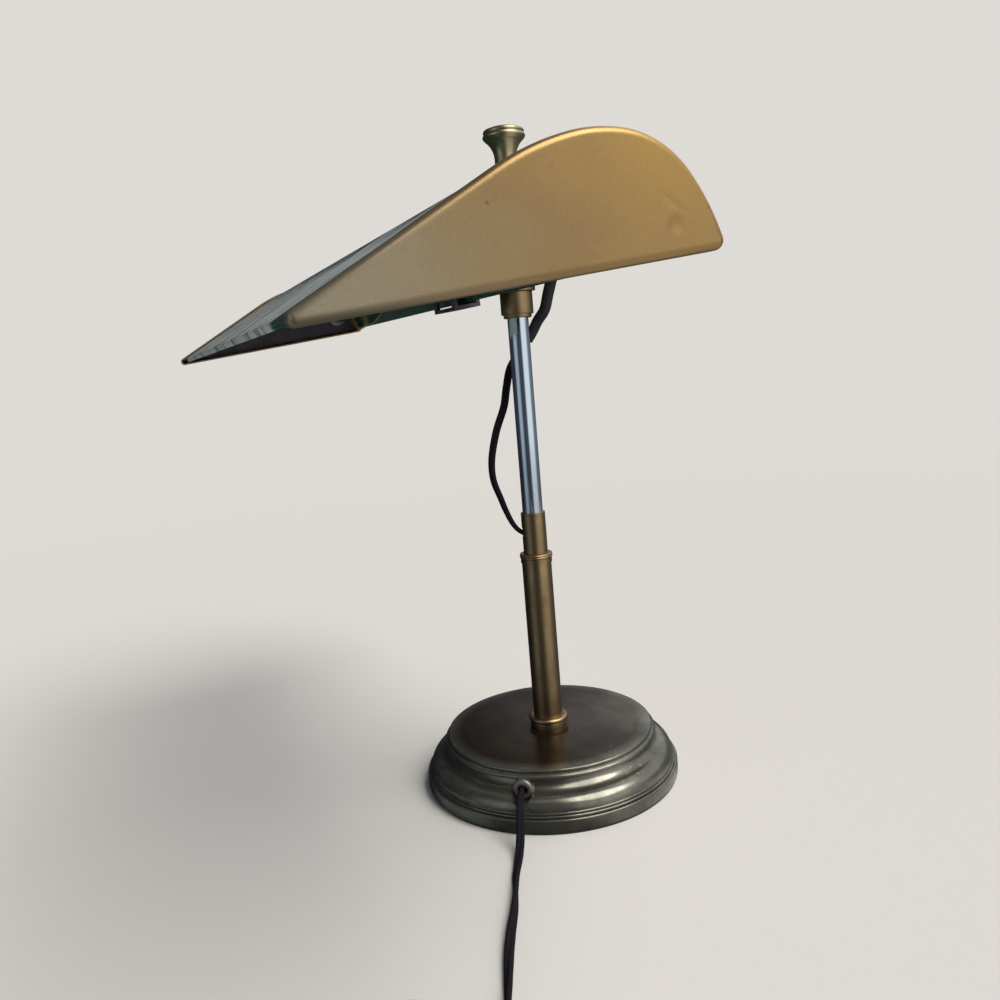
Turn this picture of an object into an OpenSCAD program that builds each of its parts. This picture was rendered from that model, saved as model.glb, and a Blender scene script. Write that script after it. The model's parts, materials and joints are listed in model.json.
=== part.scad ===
// Desk lamp with a long glass shade on a telescoping stem, in millimetres, Z up.
// The origin is the centre of the foot, on the table. The front of the shade faces -Y.

/* [Base] */
// Radius of the upright band that stands on the table
base_r = 82.5; // [75:0.5:100]
// Height of the top disc above the table
base_h = 33; // [29:0.5:40]
// Height of the top of the upright band
band_h = 9; // [6:0.5:9]
// How far the beaded rim of the top disc stands in from the band
rim_step = 13.3; // [12.8:0.1:22]
// How far the cove is drawn in below the rim
cove_depth = 4; // [3:0.2:6]
// Radius of the hollow of the cove
cove_r = 7.8; // [5:0.2:8]
// Radius of the rounded shoulder below the cove
ogee_r = 8; // [7:0.1:9]
// Wall of the spun shell
shell_t = 1.2; // [0.8:0.1:3]
// Thickness of the felt under the foot
felt_t = 1.5; // [1:0.5:3]
// Thickness of the closing plate
closing_t = 1.2; // [0.8:0.1:2]
// Radius of the cord outlet bushing
bushing_r = 6.3; // [5:0.1:7]
// Direction of the cord outlet, turned from +X
outlet_az = -39.5; // [-180:0.5:180]

/* [Stem] */
// Radius of the outer tube
tube_r = 9.5; // [8.5:0.1:12]
// Wall of the outer tube
tube_wall = 1; // [0.6:0.1:1.2]
// Length of the outer tube above the disc
tube_len = 113; // [100:1:160]
// Radius of the ring on top of the outer tube
ring_r = 10.5; // [10.2:0.1:14]
// Radius of the foot collar
foot_collar_r = 12; // [11:0.5:18]
// Radius of the inner sleeve
sleeve_r = 7.75; // [7.3:0.05:8.2]
// Length of sleeve that shows above the ring
sleeve_show = 26.5; // [20:0.5:60]
// Radius of the hole where the cord leaves the sleeve
hole_r = 3; // [2.7:0.1:3.5]
// Upward lean of that hole
hole_lean = 35; // [0:1:40]
// How far the stem can be pushed down from the pose shown
slide_down = 5; // [1:0.5:9]
// Length of the friction bush
bush_len = 20; // [10:1:24]
// Radius of the plated tube
plated_r = 6.5; // [5.8:0.1:6.9]
// Wall of the plated tube
plated_wall = 1; // [0.6:0.1:2]
// Length of plated tube that shows
plated_show = 121.5; // [60:0.5:200]

/* [Head] */
// Radius of the head collar
collar_r = 10; // [9:0.5:14]
// Height of the head collar
collar_h = 16; // [14:0.5:24]
// Radius of the post above the collar
post_r = 6; // [5:0.1:6.2]
// Outer radius of the arm's eye round the post
eye_r = 12; // [9:0.5:13]
// Height of the arm's eye
eye_h = 20; // [14:0.5:26]
// Distance from the stem axis to the tilt hinge
arm_reach = 20; // [19:0.5:40]
// Width of the arm and of its hinge knuckle
arm_w = 14; // [10:0.5:20]
// Radius of the hinge knuckles
knuckle_r = 6; // [4.5:0.25:6.5]
// Radius of the hinge pin
pin_r = 2.5; // [1.5:0.1:3]
// Length of the spacer between arm and knob
spacer_len = 42; // [20:1:60]
// Radius of the knob's rim
knob_r = 12.8; // [11:0.1:18]
// Radius of the knob's neck
knob_neck_r = 6.5; // [5:0.1:8]
// Height of the knob
knob_h = 33.2; // [28:0.2:45]

/* [Shade] */
// Length of the shade over its end plates
shade_len = 507; // [460:1:600]
// Tilt of the shade in the pose shown, front down
rest_tilt = 6.6; // [0:0.1:15]
// Angle between the front slope and the mouth
front_angle = 24; // [21:0.5:27]
// Radius of the first bend behind the front slope
crown_r = 95; // [80:1:110]
// Turn of the first bend
crown_turn = 17; // [13:0.5:20]
// Radius of the ridge
ridge_r = 58; // [50:1:68]
// Turn of the ridge
ridge_turn = 19; // [15:0.5:23]
// Radius of the round shoulder behind the ridge
shoulder_r = 36; // [30:0.5:42]
// Turn of the shoulder
shoulder_turn = 46; // [42:0.5:50]
// Radius of the gently curved back
back_r = 78; // [70:1:90]
// Turn of the back
back_turn = 18; // [14:0.5:20]
// Radius of the front corner of an end plate
front_corner_r = 2.7; // [2:0.1:3.2]
// Radius of the rear corner of an end plate
rear_corner_r = 3.3; // [2.4:0.1:4]
// Thickness of the end plates
pan_t = 1; // [0.6:0.1:1.4]
// Width of the rim folded in round an end plate
rim_w = 6; // [5:0.5:14]
// Thickness of the glass
glass_t = 3; // [2:0.25:3.5]
// Height of the hinge above the mouth of the shade
mouth_drop = 11.2; // [10:0.1:14]
// Distance from the hinge to the rear of the end plates
rear_gap = 16.2; // [16:0.1:20]
// Radius of the spine tube
spine_r = 5; // [4:0.25:6]
// Wall of the spine tube
spine_wall = 1.2; // [0.8:0.1:2]
// Distance of the spine in front of the hinge
spine_in = 34.2; // [34:0.1:38]
// Height of the spine above the hinge
spine_rise = 4.5; // [3:0.25:5.5]
// Thickness of the bracket strap
strap_t = 2.2; // [1.2:0.1:2.6]
// Width of the bracket strap
strap_w = 36; // [34:1:50]

/* [Lamps] */
// Radius of a tubular bulb
bulb_r = 12.5; // [10:0.5:14]
// Length of a bulb's glass beyond its holder
bulb_len = 132; // [90:1:150]
// Radius of a lampholder
holder_r = 12; // [10:0.25:13]
// Length of a lampholder
holder_len = 42; // [36:1:50]
// Radius of a bulb's screw cap
cap_r = 6.9; // [6:0.1:8]
// Distance of the bulb axis in front of the spine
lamp_in = 29.8; // [28:0.1:36]
// Height of the bulb axis above the hinge
lamp_rise = 13.5; // [10:0.5:14]
// Radius of the switch key's grip
key_r = 5.5; // [4:0.5:7]

/* [Cord] */
// Diameter of the cloth flex
cord_d = 5; // [4.5:0.1:5.2]
// Outside radius of the coil, to the middle of its cord
coil_r = 41.5; // [41:0.5:48]
// Free gap between neighbouring turns
coil_gap = 0.5; // [0.45:0.05:1]
// Length of the strain relief below its lug
relief_len = 20; // [20:1:28]
// Length of the plug body
plug_len = 34; // [26:1:45]
// Width of the plug body
plug_w = 32; // [30:1:40]

/* [Hidden] */
$fn = 64;

// Radial clearance of parts that are fixed in each other
fit = 0.05;
// Radial clearance of parts that turn or slide in each other
run = 0.06;
// Gap between faces that move past each other
play = 0.3;
// Extra depth of a cut, so that it passes the face
over = 1;

// Base heights and radii
foot_bead_r = 0.85;
bead_r = 1.2;
rim_bead_r = 1.5;
foot_bead_in = 1.5;
bead_step = 0.9;
bead_sink = 0.1;
edge_break = 0.6;
rim_bead_in = 2;
disc_dip = 0.2;
disc_edge = 5;
ogee_in = 2.9;
cove_rise = 1;
beads_top = band_h + 4 * foot_bead_r - bead_sink;
disc_r = base_r - rim_step;
cove_min_r = disc_r - cove_depth;
rim_bottom = base_h - 2 * bead_r - 2 * rim_bead_r - edge_break;
cove_z = rim_bottom + cove_rise;
cove_c = [cove_min_r + cove_r, cove_z];
ogee_c = [base_r - ogee_in - ogee_r, cove_z - cove_r - ogee_r];
ogee_low = asin((beads_top - ogee_c.y) / ogee_r);
foot_in_r = base_r - shell_t;
neck_in_r = cove_min_r - shell_t;
weight_gap = 0.5;
closing_z = felt_t + closing_t;
outlet_drop = 6;
outlet_z = cove_z - outlet_drop;
bushing_rise = 0.9;
bushing_seat = cove_min_r + bushing_rise;
bushing_len = 5.5;
bushing_lip = 2;
bushing_shank_r = bushing_r - 1.8;
bushing_tail = 3;
bore_break = 0.8;
cord_bore_r = cord_d / 2 + play;
channel_w = 2 * bushing_shank_r + 2 * over;

// Nipple that ties stem, shell and weight together
nipple_r = 5;
nipple_bore_r = 3.5;
nut_r = 8.5;
nut_h = 5;
washer_r = 10.5;
washer_t = 1.2;
well_r = 12;
well_h = 9;
well_top = closing_z + well_h;
plug_h = 17;
plug_top = base_h + plug_h;

// Stem heights
tube_in_r = tube_r - tube_wall;
tube_top = base_h + tube_len;
ring_grip = 3;
ring_lip = 3;
ring_step = 0.5;
ring_top = tube_top + ring_lip;
sleeve_top = ring_top + sleeve_show;
hole_down = 12.5;
hole_z = sleeve_top - hole_down;
hole_az = -114.3;
seat_up = 4.5;
seat_z = hole_z + seat_up;
neck_step = 0.75;
neck_r = sleeve_r - neck_step;
sleeve_wall = 1;
sleeve_bore_r = min(plated_r, neck_r) - sleeve_wall;
end_gap = 1;
sleeve_low = plug_top + slide_down + end_gap;
ret_low = sleeve_low + end_gap;
ret_t = 2;
bush_low = ret_low + ret_t + play;
shoulder_z = bush_low + bush_len + play;

// Head heights
collar_low = sleeve_top + plated_show;
collar_step = 2.2;
collar_ledge = 1.3;
collar_top = collar_low + collar_h;
plated_grip = 10;
socket_z = collar_low + plated_grip;
eye_top = collar_top + eye_h;
hinge_rise = 5;
hinge_z = collar_top + hinge_rise;
spacer_top = eye_top + spacer_len;
knob_low = spacer_top + play;
flare_drop = 18.2;
flare_r = 14;
knob_in = 0.9;
knob_bead = 1.5;
knob_bead_rise = 2.6;
knob_dome = 0.3;
stud_r = 3;
stud_len = 18;
knob_bore = stud_len + end_gap;
spacer_wall = 1.5;
spacer_r = post_r + spacer_wall;
lug_reach = 23;
lug_az = 74;
lug_rise = 2;
lug_z = hinge_z + lug_rise;
lug_lean = 19;
lean_az = 38.5;
lug_r = 6;
lug_h = 12;
relief_r = 3.65;
relief_tip_r = 3.05;
relief_neck = 8;
leaf_w = 8;
leaf_t = 2;
leaf_in = arm_w / 2 + play;
leaf_out = leaf_in + leaf_w;
pin_head_r = 3.6;
pin_head_t = 2;
pin_nut_t = 4;
pin_end = 0.6;
nut_flat = 0.4;
relief_fit = 0.15;

// Shade section, with Y to the rear and Z up from the mouth, and the sharp front corner at zero
crown_h = front_angle - crown_turn;
ridge_h = crown_h - ridge_turn;
shoulder_h = ridge_h - shoulder_turn;
back_h = shoulder_h - back_turn;
bends = sweep(crown_r, front_angle, crown_h) + sweep(ridge_r, crown_h, ridge_h)
    + sweep(shoulder_r, ridge_h, shoulder_h) + sweep(back_r, shoulder_h, back_h);
slope_len = (rear_corner_r * (1 + cos(back_h)) - bends.y) / sin(front_angle);
slope_end = slope_len * [cos(front_angle), sin(front_angle)];
crown_end = slope_end + sweep(crown_r, front_angle, crown_h);
ridge_end = crown_end + sweep(ridge_r, crown_h, ridge_h);
shoulder_end = ridge_end + sweep(shoulder_r, ridge_h, shoulder_h);
back_end = slope_end + bends;
crown_c = bend_centre(slope_end, crown_r, front_angle);
ridge_c = bend_centre(crown_end, ridge_r, crown_h);
shoulder_c = bend_centre(ridge_end, shoulder_r, ridge_h);
back_c = bend_centre(shoulder_end, back_r, shoulder_h);
rear_c = bend_centre(back_end, rear_corner_r, back_h);
shade_shift = [-rear_gap - rear_c.x - rear_corner_r, -mouth_drop];
edge_r = 0.85 * front_corner_r;
glass_seat = 0.2;
glass_out = -pan_t - glass_seat;
glass_in = glass_out - glass_t;
glass_end = edge_r + glass_seat;
front_clear = (pan_t + glass_seat - glass_in * cos(front_angle)) / sin(front_angle);
front_cut = max(front_clear, front_corner_r / tan(front_angle / 2));
glass_drop = 0.5;
half_len = shade_len / 2;
strap_gap = 1;
strap_z = back_point(-glass_drop, glass_in).y + shade_shift.y - strap_gap;
strap_front = back_point(spine_rise + mouth_drop, glass_in).x + shade_shift.x - strap_gap;
strap_rear = -rear_gap + 1.5;
spine_flange_r = 7.5;
spine_flange_t = 2;
saddle_wall = 2;
saddle_r = spine_r + saddle_wall;
saddle_in = 13;
clip_t = 1;
clip_w = 10;
clip_leg = 15;
clip_lip = 4.5;

// Lamp block and lamps, placed from the hinge
lamp_y = -spine_in - lamp_in;
block_half = 20;
block_ahead = 14;
block_behind = 20;
block_above = 10.5;
block_below = 13;
block_front = lamp_y - block_ahead;
block_rear = lamp_y + block_behind;
block_low = lamp_rise - block_below;
block_top = lamp_rise + block_above;
lug_half = 12;
block_lug_wall = 2.5;
block_lug_r = spine_r + block_lug_wall;
screw_in = 6;
screw_back = 3;
cover_t = 1.5;
cover_edge = 2;
screw_r = 1.5;
screw_head_r = 2.6;
screw_head_t = 1.4;
screw_len = 6;
shell_wall = 0.6;
shell_in_r = cap_r + 2 * fit;
shell_short = 2;
cap_out = 1;
cap_floor = 2;
holder_floor = 6;
holder_end = block_half + holder_len;
cap_wall = 0.5;
cap_len = 26;
bulb_wall = 0.8;
bulb_neck_len = 12;
bulb_flare = 10;
key_stem_r = 2;
key_drop = 3;
key_z = lamp_rise - key_drop;
key_stem_in = 6;
key_stem_out = 4;
key_grip_len = 6;
key_wing_t = 3;

// Routes of the cord, chosen by hand, through the middle of the flex
cord_r = cord_d / 2;
cord_sides = 10;
coil_sides = 6;
coil_rings = 24;
tie_t = 0.8;
tie_w = 6;
tie_gap = 1.2;
tie_az = 150;
coil_z = tie_t + cord_r;
hole_at = [sleeve_r * cos(hole_az), sleeve_r * sin(hole_az), hole_z];
hole_axis = [cos(hole_az) * cos(hole_lean), sin(hole_az) * cos(hole_lean), sin(hole_lean)];
lug_at = [lug_reach * cos(lug_az), lug_reach * sin(lug_az), lug_z];
lug_axis = [cos(lean_az) * sin(lug_lean), sin(lean_az) * sin(lug_lean), cos(lug_lean)];
// Points between hole and lug, with heights above the hole for a rise of loop_rise
loop_rise = 157;
loop_hang = [
    [-5.6, -12.4, 6.5], [-6.9, -15.3, 14], [-8, -18, 23], [-9.6, -21.2, 35], [-12.4, -20, 48],
    [-13.3, -15, 65], [-12.7, -8.7, 80], [-13.4, -5.5, 92], [-13, -2, 104], [-10.5, 4.7, 114],
    [-6.5, 11, 123.5], [-2.9, 14.6, 131.5]
];
loop_stretch = (lug_z - hole_z) / loop_rise;
loop_route = concat(
    [hole_at - 2 * hole_axis, hole_at + 3 * hole_axis],
    [for (p = loop_hang) [p.x, p.y, hole_z + p.z * loop_stretch]],
    [lug_at - relief_len * lug_axis, lug_at - relief_len / 2 * lug_axis, lug_at + relief_neck / 2 * lug_axis]
);
// Points outwards from the bushing's seat, sideways, and above the table
lead_run = [
    [1.5, 0.2, 22], [7, 0.2, 22], [13.4, 1, 21.2], [19.4, 2.2, 18.7], [24.6, 3.4, 14.7], [28.9, 4.3, 9.9],
    [34.1, 5.2, 5.9], [40.1, 6.2, 3.4], [46.5, 7.3, 2.6], [53, 8.5, 2.6], [60, 9.8, 2.6], [76, 14, 2.6],
    [88.5, 16.8, 2.6], [100, 18.8, 2.6], [112, 21.2, 2.6], [124.5, 24.2, 2.6], [138.5, 28, 2.6],
    [151.5, 31.6, 2.7], [164.5, 34.6, 3.1], [177.6, 37.6, 3.3], [187.3, 40, 3.3],
    [197, 42.4, 3.3]
];
lead_route = [for (p = lead_run) turn_out([bushing_seat + p.x, p.y, p.z])];
lead_end = lead_route[len(lead_route) - 1];
lead_dir = turn_out([0.97, 0.24, 0]) / norm([0.97, 0.24]);
coil_run = cord_d;
coil_pitch = cord_d + coil_gap;
coil_turns = 8 + 2 / coil_rings;
coil_start = 90 + atan2(lead_dir.y, lead_dir.x);
coil_c = lead_end + coil_run * lead_dir + coil_r * [lead_dir.y, -lead_dir.x, 0];
tail_len = 28;
plug_t = 14;
plug_neck = 8;
plug_corner = 6;
plug_break = 1.5;
pin_len = 19;
pin_gap = 19;
plug_pin_r = 2;

// A vector of length one
function unit(v) = v / norm(v);

// A point of the cord's run, turned into the direction of the outlet
function turn_out(p) = [
    p.x * cos(outlet_az) - p.y * sin(outlet_az), p.x * sin(outlet_az) + p.y * cos(outlet_az), p.z
];

// Points on an arc of a circle
function arc(c, r, a0, a1, n = 12, first = 0) =
    [for (i = [first:n]) let (a = a0 + (a1 - a0) * i / n) c + r * [cos(a), sin(a)]];

// A smooth curve through hand-chosen points, with steps between each two
function smooth(p, steps) = [
    for (i = [0:len(p) - 2])
    for (k = [0:steps - (i == len(p) - 2 ? 0 : 1)])
    let (a = p[max(i - 1, 0)], b = p[i], c = p[i + 1], d = p[min(i + 2, len(p) - 1)], t = k / steps)
    0.5 * (2 * b + (c - a) * t + (2 * a - 5 * b + 4 * c - d) * t * t + (3 * b - a - 3 * c + d) * t * t * t)
];

// Direction of a path at one of its points
function heading(p, i) = unit(p[min(i + 1, len(p) - 1)] - p[max(i - 1, 0)]);

// Swept tube along a path; the reference vector is never along the path
module tube(p, r, sides, ref) {
    n = len(p);
    points = [
        for (i = [0:n - 1])
        let (t = heading(p, i), s = unit(cross(t, ref)), u = cross(s, t))
        for (j = [0:sides - 1])
        let (a = 90 + 360 * j / sides)
        p[i] + r * (cos(a) * s + sin(a) * u)
    ];
    walls = [
        for (i = [0:n - 2])
        for (j = [0:sides - 1])
        let (a = i * sides + j, b = i * sides + (j + 1) % sides)
        each [[a, b, b + sides], [a, b + sides, a + sides]]
    ];
    first = [for (j = [1:sides - 2]) [0, j + 1, j]];
    last = [for (j = [1:sides - 2]) let (a = (n - 1) * sides) [a, a + j, a + j + 1]];
    polyhedron(points, concat(walls, first, last));
}

// Way along a bend to the right, from one heading to another
function sweep(r, h0, h1) = r * [sin(h0) - sin(h1), cos(h1) - cos(h0)];

// Centre of a bend to the right that starts at a point with a heading
function bend_centre(p, r, h) = p + r * [sin(h), -cos(h)];

// Points of the four bends of the shade, grown outwards
function shade_bends(grow) = concat(
    arc(crown_c, crown_r + grow, 90 + front_angle, 90 + crown_h, 6),
    arc(ridge_c, ridge_r + grow, 90 + crown_h, 90 + ridge_h, 6, 1),
    arc(shoulder_c, shoulder_r + grow, 90 + ridge_h, 90 + shoulder_h, 10, 1),
    arc(back_c, back_r + grow, 90 + shoulder_h, 90 + back_h, 6, 1)
);

// A point up the back from the rear corner, moved outwards
function back_point(up, grow) =
    let (h = back_h + up / back_r * 180 / PI)
    back_c + (back_r + grow) * [-sin(h), cos(h)];

// Section line of the glass, from its front edge to its rear edge
function glass_line(grow) = concat(
    [front_cut * [cos(front_angle), sin(front_angle)] + grow * [-sin(front_angle), cos(front_angle)]],
    shade_bends(grow),
    [back_point(-glass_drop, grow)]
);

// Outline of an end plate, grown outwards
function plate_line(grow) = concat(
    arc(front_corner_r / sin(front_angle / 2) * [cos(front_angle / 2), sin(front_angle / 2)],
        front_corner_r + grow, 270, 90 + front_angle, 8),
    shade_bends(grow),
    arc(rear_c, rear_corner_r + grow, 90 + back_h, -90, 8, 1)
);

// Places a shape in the frame of the tilt hinge
module at_hinge() {
    translate([0, -arm_reach, hinge_z]) rotate([rest_tilt, 0, 0]) children();
}

// Extrudes a section of the shade along X, between two places
module along(x0, x1) {
    translate([x0, 0, 0]) rotate([90, 0, 90]) linear_extrude(x1 - x0) children();
}

// The same, for a section that is drawn from the sharp front corner
module shade_section(x0, x1) {
    at_hinge() along(x0, x1) translate(shade_shift) children();
}

// A copy on each side
module both_sides() {
    for (s = [0, 1]) mirror([s, 0, 0]) children();
}

// Turned part with its axis along X, from profiles of radius and length
module turned_x(y, z) {
    translate([0, y, z]) rotate([0, 90, 0]) rotate_extrude() children();
}

// Hollow cylinder
module pipe(r_out, r_in, z0, z1) {
    translate([0, 0, z0]) difference() {
        cylinder(r = r_out, h = z1 - z0);
        translate([0, 0, -over]) cylinder(r = r_in, h = z1 - z0 + 2 * over);
    }
}

// Places a shape at the cord outlet, with Z pointing out of the base
module at_outlet() {
    rotate([0, 0, outlet_az]) translate([0, 0, outlet_z]) rotate([0, 90, 0]) children();
}

module base_shell() {
    bead_c = base_r - foot_bead_in - foot_bead_r;
    profile = concat(
        [[0, felt_t], [base_r, felt_t]],
        [[base_r, band_h - edge_break], [base_r - edge_break, band_h]],
        arc([bead_c, band_h + foot_bead_r], foot_bead_r, -80, 70, 8),
        arc([bead_c - bead_step, band_h + 3 * foot_bead_r - bead_sink], foot_bead_r, -60, 80, 8),
        arc(ogee_c, ogee_r, ogee_low, 80, 12),
        arc(cove_c, cove_r, 265, 195, 12),
        arc([disc_r - rim_bead_r, rim_bottom + rim_bead_r], rim_bead_r, -90, 60, 8),
        arc([disc_r - rim_bead_in - bead_r, base_h - disc_dip - bead_r], bead_r, -55, 90, 8),
        [[disc_r - disc_edge, base_h - disc_dip], [disc_r - disc_edge - over, base_h], [0, base_h]]
    );
    color("#3b302b") difference() {
        rotate_extrude($fn = 96) polygon(profile);
        translate([0, 0, felt_t - over]) cylinder(r = foot_in_r, h = band_h - felt_t + over);
        cylinder(r = neck_in_r, h = base_h - shell_t);
        cylinder(r = nipple_r + fit, h = base_h + over);
        at_outlet() cylinder(r = bushing_shank_r + fit, h = base_r);
        at_outlet() translate([0, 0, bushing_seat]) cylinder(r = bushing_r + fit, h = base_r);
    }
}

module base_weight() {
    step_z = band_h - weight_gap;
    color("#55524e") difference() {
        union() {
            translate([0, 0, closing_z]) cylinder(r = foot_in_r - weight_gap, h = step_z - closing_z);
            translate([0, 0, closing_z])
                cylinder(r = neck_in_r - weight_gap, h = base_h - shell_t - closing_z);
        }
        translate([0, 0, closing_z - over]) cylinder(r = well_r, h = well_h + over);
        cylinder(r = nipple_r + fit, h = base_h);
        rotate([0, 0, outlet_az]) translate([0, -channel_w / 2, outlet_z - channel_w / 2])
            cube([base_r, channel_w, base_h]);
    }
}

module closing_plate() {
    color("#8a8d90") translate([0, 0, felt_t]) cylinder(r = foot_in_r - weight_gap, h = closing_t);
}

module base_felt() {
    color("#2f4a38") cylinder(r = base_r - weight_gap, h = felt_t);
}

module foot_collar() {
    ring_bead = 1.6;
    skirt = 3.4;
    bead_z = base_h + skirt + ring_bead;
    color("#6b5b33") rotate_extrude() polygon(concat(
        [[tube_r + fit, base_h], [foot_collar_r, base_h], [foot_collar_r, base_h + skirt]],
        arc([foot_collar_r - edge_break, bead_z], ring_bead, -60, 90, 8),
        [[tube_r + fit, bead_z + ring_bead]]
    ));
}

module stem_nipple() {
    color("#b08d4a") pipe(nipple_r, nipple_bore_r, well_top - washer_t - nut_h - over, plug_top - over);
}

module nipple_nut() {
    color("#a9abad") translate([0, 0, well_top - washer_t - nut_h]) difference() {
        cylinder(r = nut_r, h = nut_h, $fn = 6);
        translate([0, 0, -over]) cylinder(r = nipple_r + fit, h = nut_h + 2 * over);
    }
}

module nipple_washer() {
    color("#9fa2a5") pipe(washer_r, nipple_r + fit, well_top - washer_t, well_top);
}

module tube_plug() {
    color("#b08d4a") pipe(tube_in_r - fit, nipple_r + fit, base_h, plug_top);
}

module outer_tube() {
    color("#574732") pipe(tube_r, tube_in_r, base_h, tube_top);
}

module tube_ring() {
    skirt_r = ring_r - ring_step;
    color("#66552f") rotate_extrude() polygon([
        [tube_r + fit, tube_top - ring_grip], [skirt_r, tube_top - ring_grip],
        [skirt_r, tube_top - edge_break], [ring_r, tube_top], [ring_r, ring_top - edge_break],
        [ring_r - edge_break, ring_top], [sleeve_r + run, ring_top],
        [sleeve_r + run, tube_top + fit], [tube_r + fit, tube_top + fit]
    ]);
}

module outlet_bushing() {
    tail = neck_in_r - bushing_tail;
    face = bushing_seat + bushing_len;
    color("#716a67") at_outlet() rotate_extrude() polygon(concat(
        [[cord_bore_r, tail], [bushing_shank_r, tail]],
        [[bushing_shank_r, bushing_seat], [bushing_r, bushing_seat]],
        arc([bushing_r - bushing_lip, face - bushing_lip], bushing_lip, 0, 90, 6),
        [[cord_bore_r + bore_break, face], [cord_bore_r, face - bore_break]]
    ));
}

module friction_bush() {
    color("#b88b4d") pipe(tube_in_r - run, neck_r + run, bush_low, bush_low + bush_len);
}

// Places a shape where the cord leaves the sleeve, with Z pointing out
module at_hole() {
    rotate([0, 0, hole_az]) translate([sleeve_r, 0, hole_z]) rotate([0, 90 - hole_lean, 0]) children();
}

module inner_sleeve() {
    color("#5d5037") difference() {
        union() {
            translate([0, 0, sleeve_low]) cylinder(r = neck_r, h = shoulder_z - sleeve_low);
            translate([0, 0, shoulder_z]) cylinder(r = sleeve_r, h = sleeve_top - shoulder_z);
        }
        translate([0, 0, sleeve_low - over]) cylinder(r = sleeve_bore_r, h = seat_z - sleeve_low + over);
        translate([0, 0, seat_z - fit]) cylinder(r = plated_r + fit, h = sleeve_top - seat_z + over);
        at_hole() translate([0, 0, -sleeve_r]) cylinder(r = hole_r, h = 2 * sleeve_r);
    }
}

module retaining_ring() {
    color("#909397") pipe(tube_in_r - play, neck_r + fit, ret_low, ret_low + ret_t);
}

module plated_tube() {
    color("#c9d3d8") pipe(plated_r, plated_r - plated_wall, seat_z, socket_z);
}

module head_collar() {
    step_r = collar_r - collar_ledge;
    color("#5f4e35") rotate_extrude() polygon([
        [plated_r + fit, collar_low], [step_r - edge_break, collar_low], [step_r, collar_low + collar_step],
        [collar_r, collar_low + collar_step], [collar_r, collar_top - edge_break],
        [collar_r - edge_break, collar_top],
        [post_r + fit, collar_top], [post_r + fit, socket_z + fit], [plated_r + fit, socket_z + fit]
    ]);
}

module head_post() {
    color("#7a6338") {
        translate([0, 0, socket_z + fit]) cylinder(r = post_r, h = spacer_top - socket_z - fit);
        translate([0, 0, spacer_top - over]) cylinder(r = stud_r, h = stud_len + over);
    }
}

// Places a shape on the cord lug, with Z up along the strain relief
module at_lug() {
    rotate([0, 0, lug_az]) translate([lug_reach, 0, lug_z]) rotate([0, 0, lean_az - lug_az])
        rotate([0, lug_lean, 0]) children();
}

module arm_bracket() {
    beam_h = 1.6 * knuckle_r;
    web_h = eye_h - lug_rise - hinge_rise - 3;
    color("#5f4e35") difference() {
        union() {
            translate([0, 0, collar_top]) cylinder(r = eye_r, h = eye_h);
            translate([-arm_w / 2, -arm_reach, hinge_z - beam_h / 2]) cube([arm_w, arm_reach, beam_h]);
            translate([-arm_w / 2, -arm_reach, hinge_z]) rotate([0, 90, 0])
                cylinder(r = knuckle_r, h = arm_w);
            rotate([0, 0, lug_az]) translate([0, -lug_r / 2, lug_z + 2]) cube([lug_reach, lug_r, web_h]);
            at_lug() cylinder(r = lug_r, h = lug_h);
        }
        translate([0, 0, collar_top - over]) cylinder(r = post_r + fit, h = eye_h + 2 * over);
        translate([-arm_w, -arm_reach, hinge_z]) rotate([0, 90, 0]) cylinder(r = pin_r + fit, h = 2 * arm_w);
        at_lug() translate([0, 0, -lug_r]) cylinder(r = relief_r + fit, h = relief_neck + lug_r + fit);
    }
}

module post_spacer() {
    color("#6b5836") pipe(spacer_r, post_r + fit, eye_top, spacer_top);
}

module clamp_knob() {
    top = knob_low + knob_h;
    flare_z = top - flare_drop;
    rim_z = top - knob_bead - knob_bead_rise - knob_dome - 1;
    flare_end = acos(1 - (knob_r - knob_in - knob_neck_r) / flare_r);
    color("#5c5a45") rotate_extrude() polygon(concat(
        [[stud_r + run, knob_low], [knob_neck_r, knob_low]],
        arc([knob_neck_r + flare_r, flare_z], flare_r, 180, 180 - flare_end, 10),
        arc([knob_r - knob_bead, rim_z], knob_bead, -60, 50, 6),
        arc([knob_r - knob_bead - ring_step, rim_z + knob_bead_rise], knob_bead, -40, 90, 6),
        [[knob_r - 4, top - knob_dome], [0, top]],
        [[0, knob_low + knob_bore], [stud_r + run, knob_low + knob_bore]]
    ));
}

module hinge_pin() {
    color("#8f9194") translate([0, -arm_reach, hinge_z]) rotate([0, 90, 0]) {
        translate([0, 0, -leaf_out - play - pin_nut_t - pin_end])
            cylinder(r = pin_r, h = 2 * leaf_out + 2 * play + pin_nut_t + pin_end);
        translate([0, 0, leaf_out + play]) cylinder(r = pin_head_r, h = pin_head_t);
    }
}

module hinge_nut() {
    color("#a9abad") translate([-leaf_out - play - pin_nut_t, -arm_reach, hinge_z]) rotate([0, 90, 0])
        difference() {
            cylinder(r = pin_head_r + nut_flat, h = pin_nut_t, $fn = 6);
            translate([0, 0, -over]) cylinder(r = pin_r + fit, h = pin_nut_t + 2 * over);
        }
}

module strain_relief() {
    color("#1d1b20") at_lug() difference() {
        union() {
            translate([0, 0, -relief_len]) cylinder(r1 = relief_tip_r, r2 = relief_r, h = relief_len);
            cylinder(r = relief_r, h = relief_neck);
        }
        translate([0, 0, -relief_len - over])
            cylinder(r = cord_r + relief_fit, h = relief_len + relief_neck + 2 * over);
    }
}

module loop_cord() {
    color("#2a2833") tube(smooth(loop_route, 2), cord_r, cord_sides, [1, 0, 0]);
}

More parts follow.
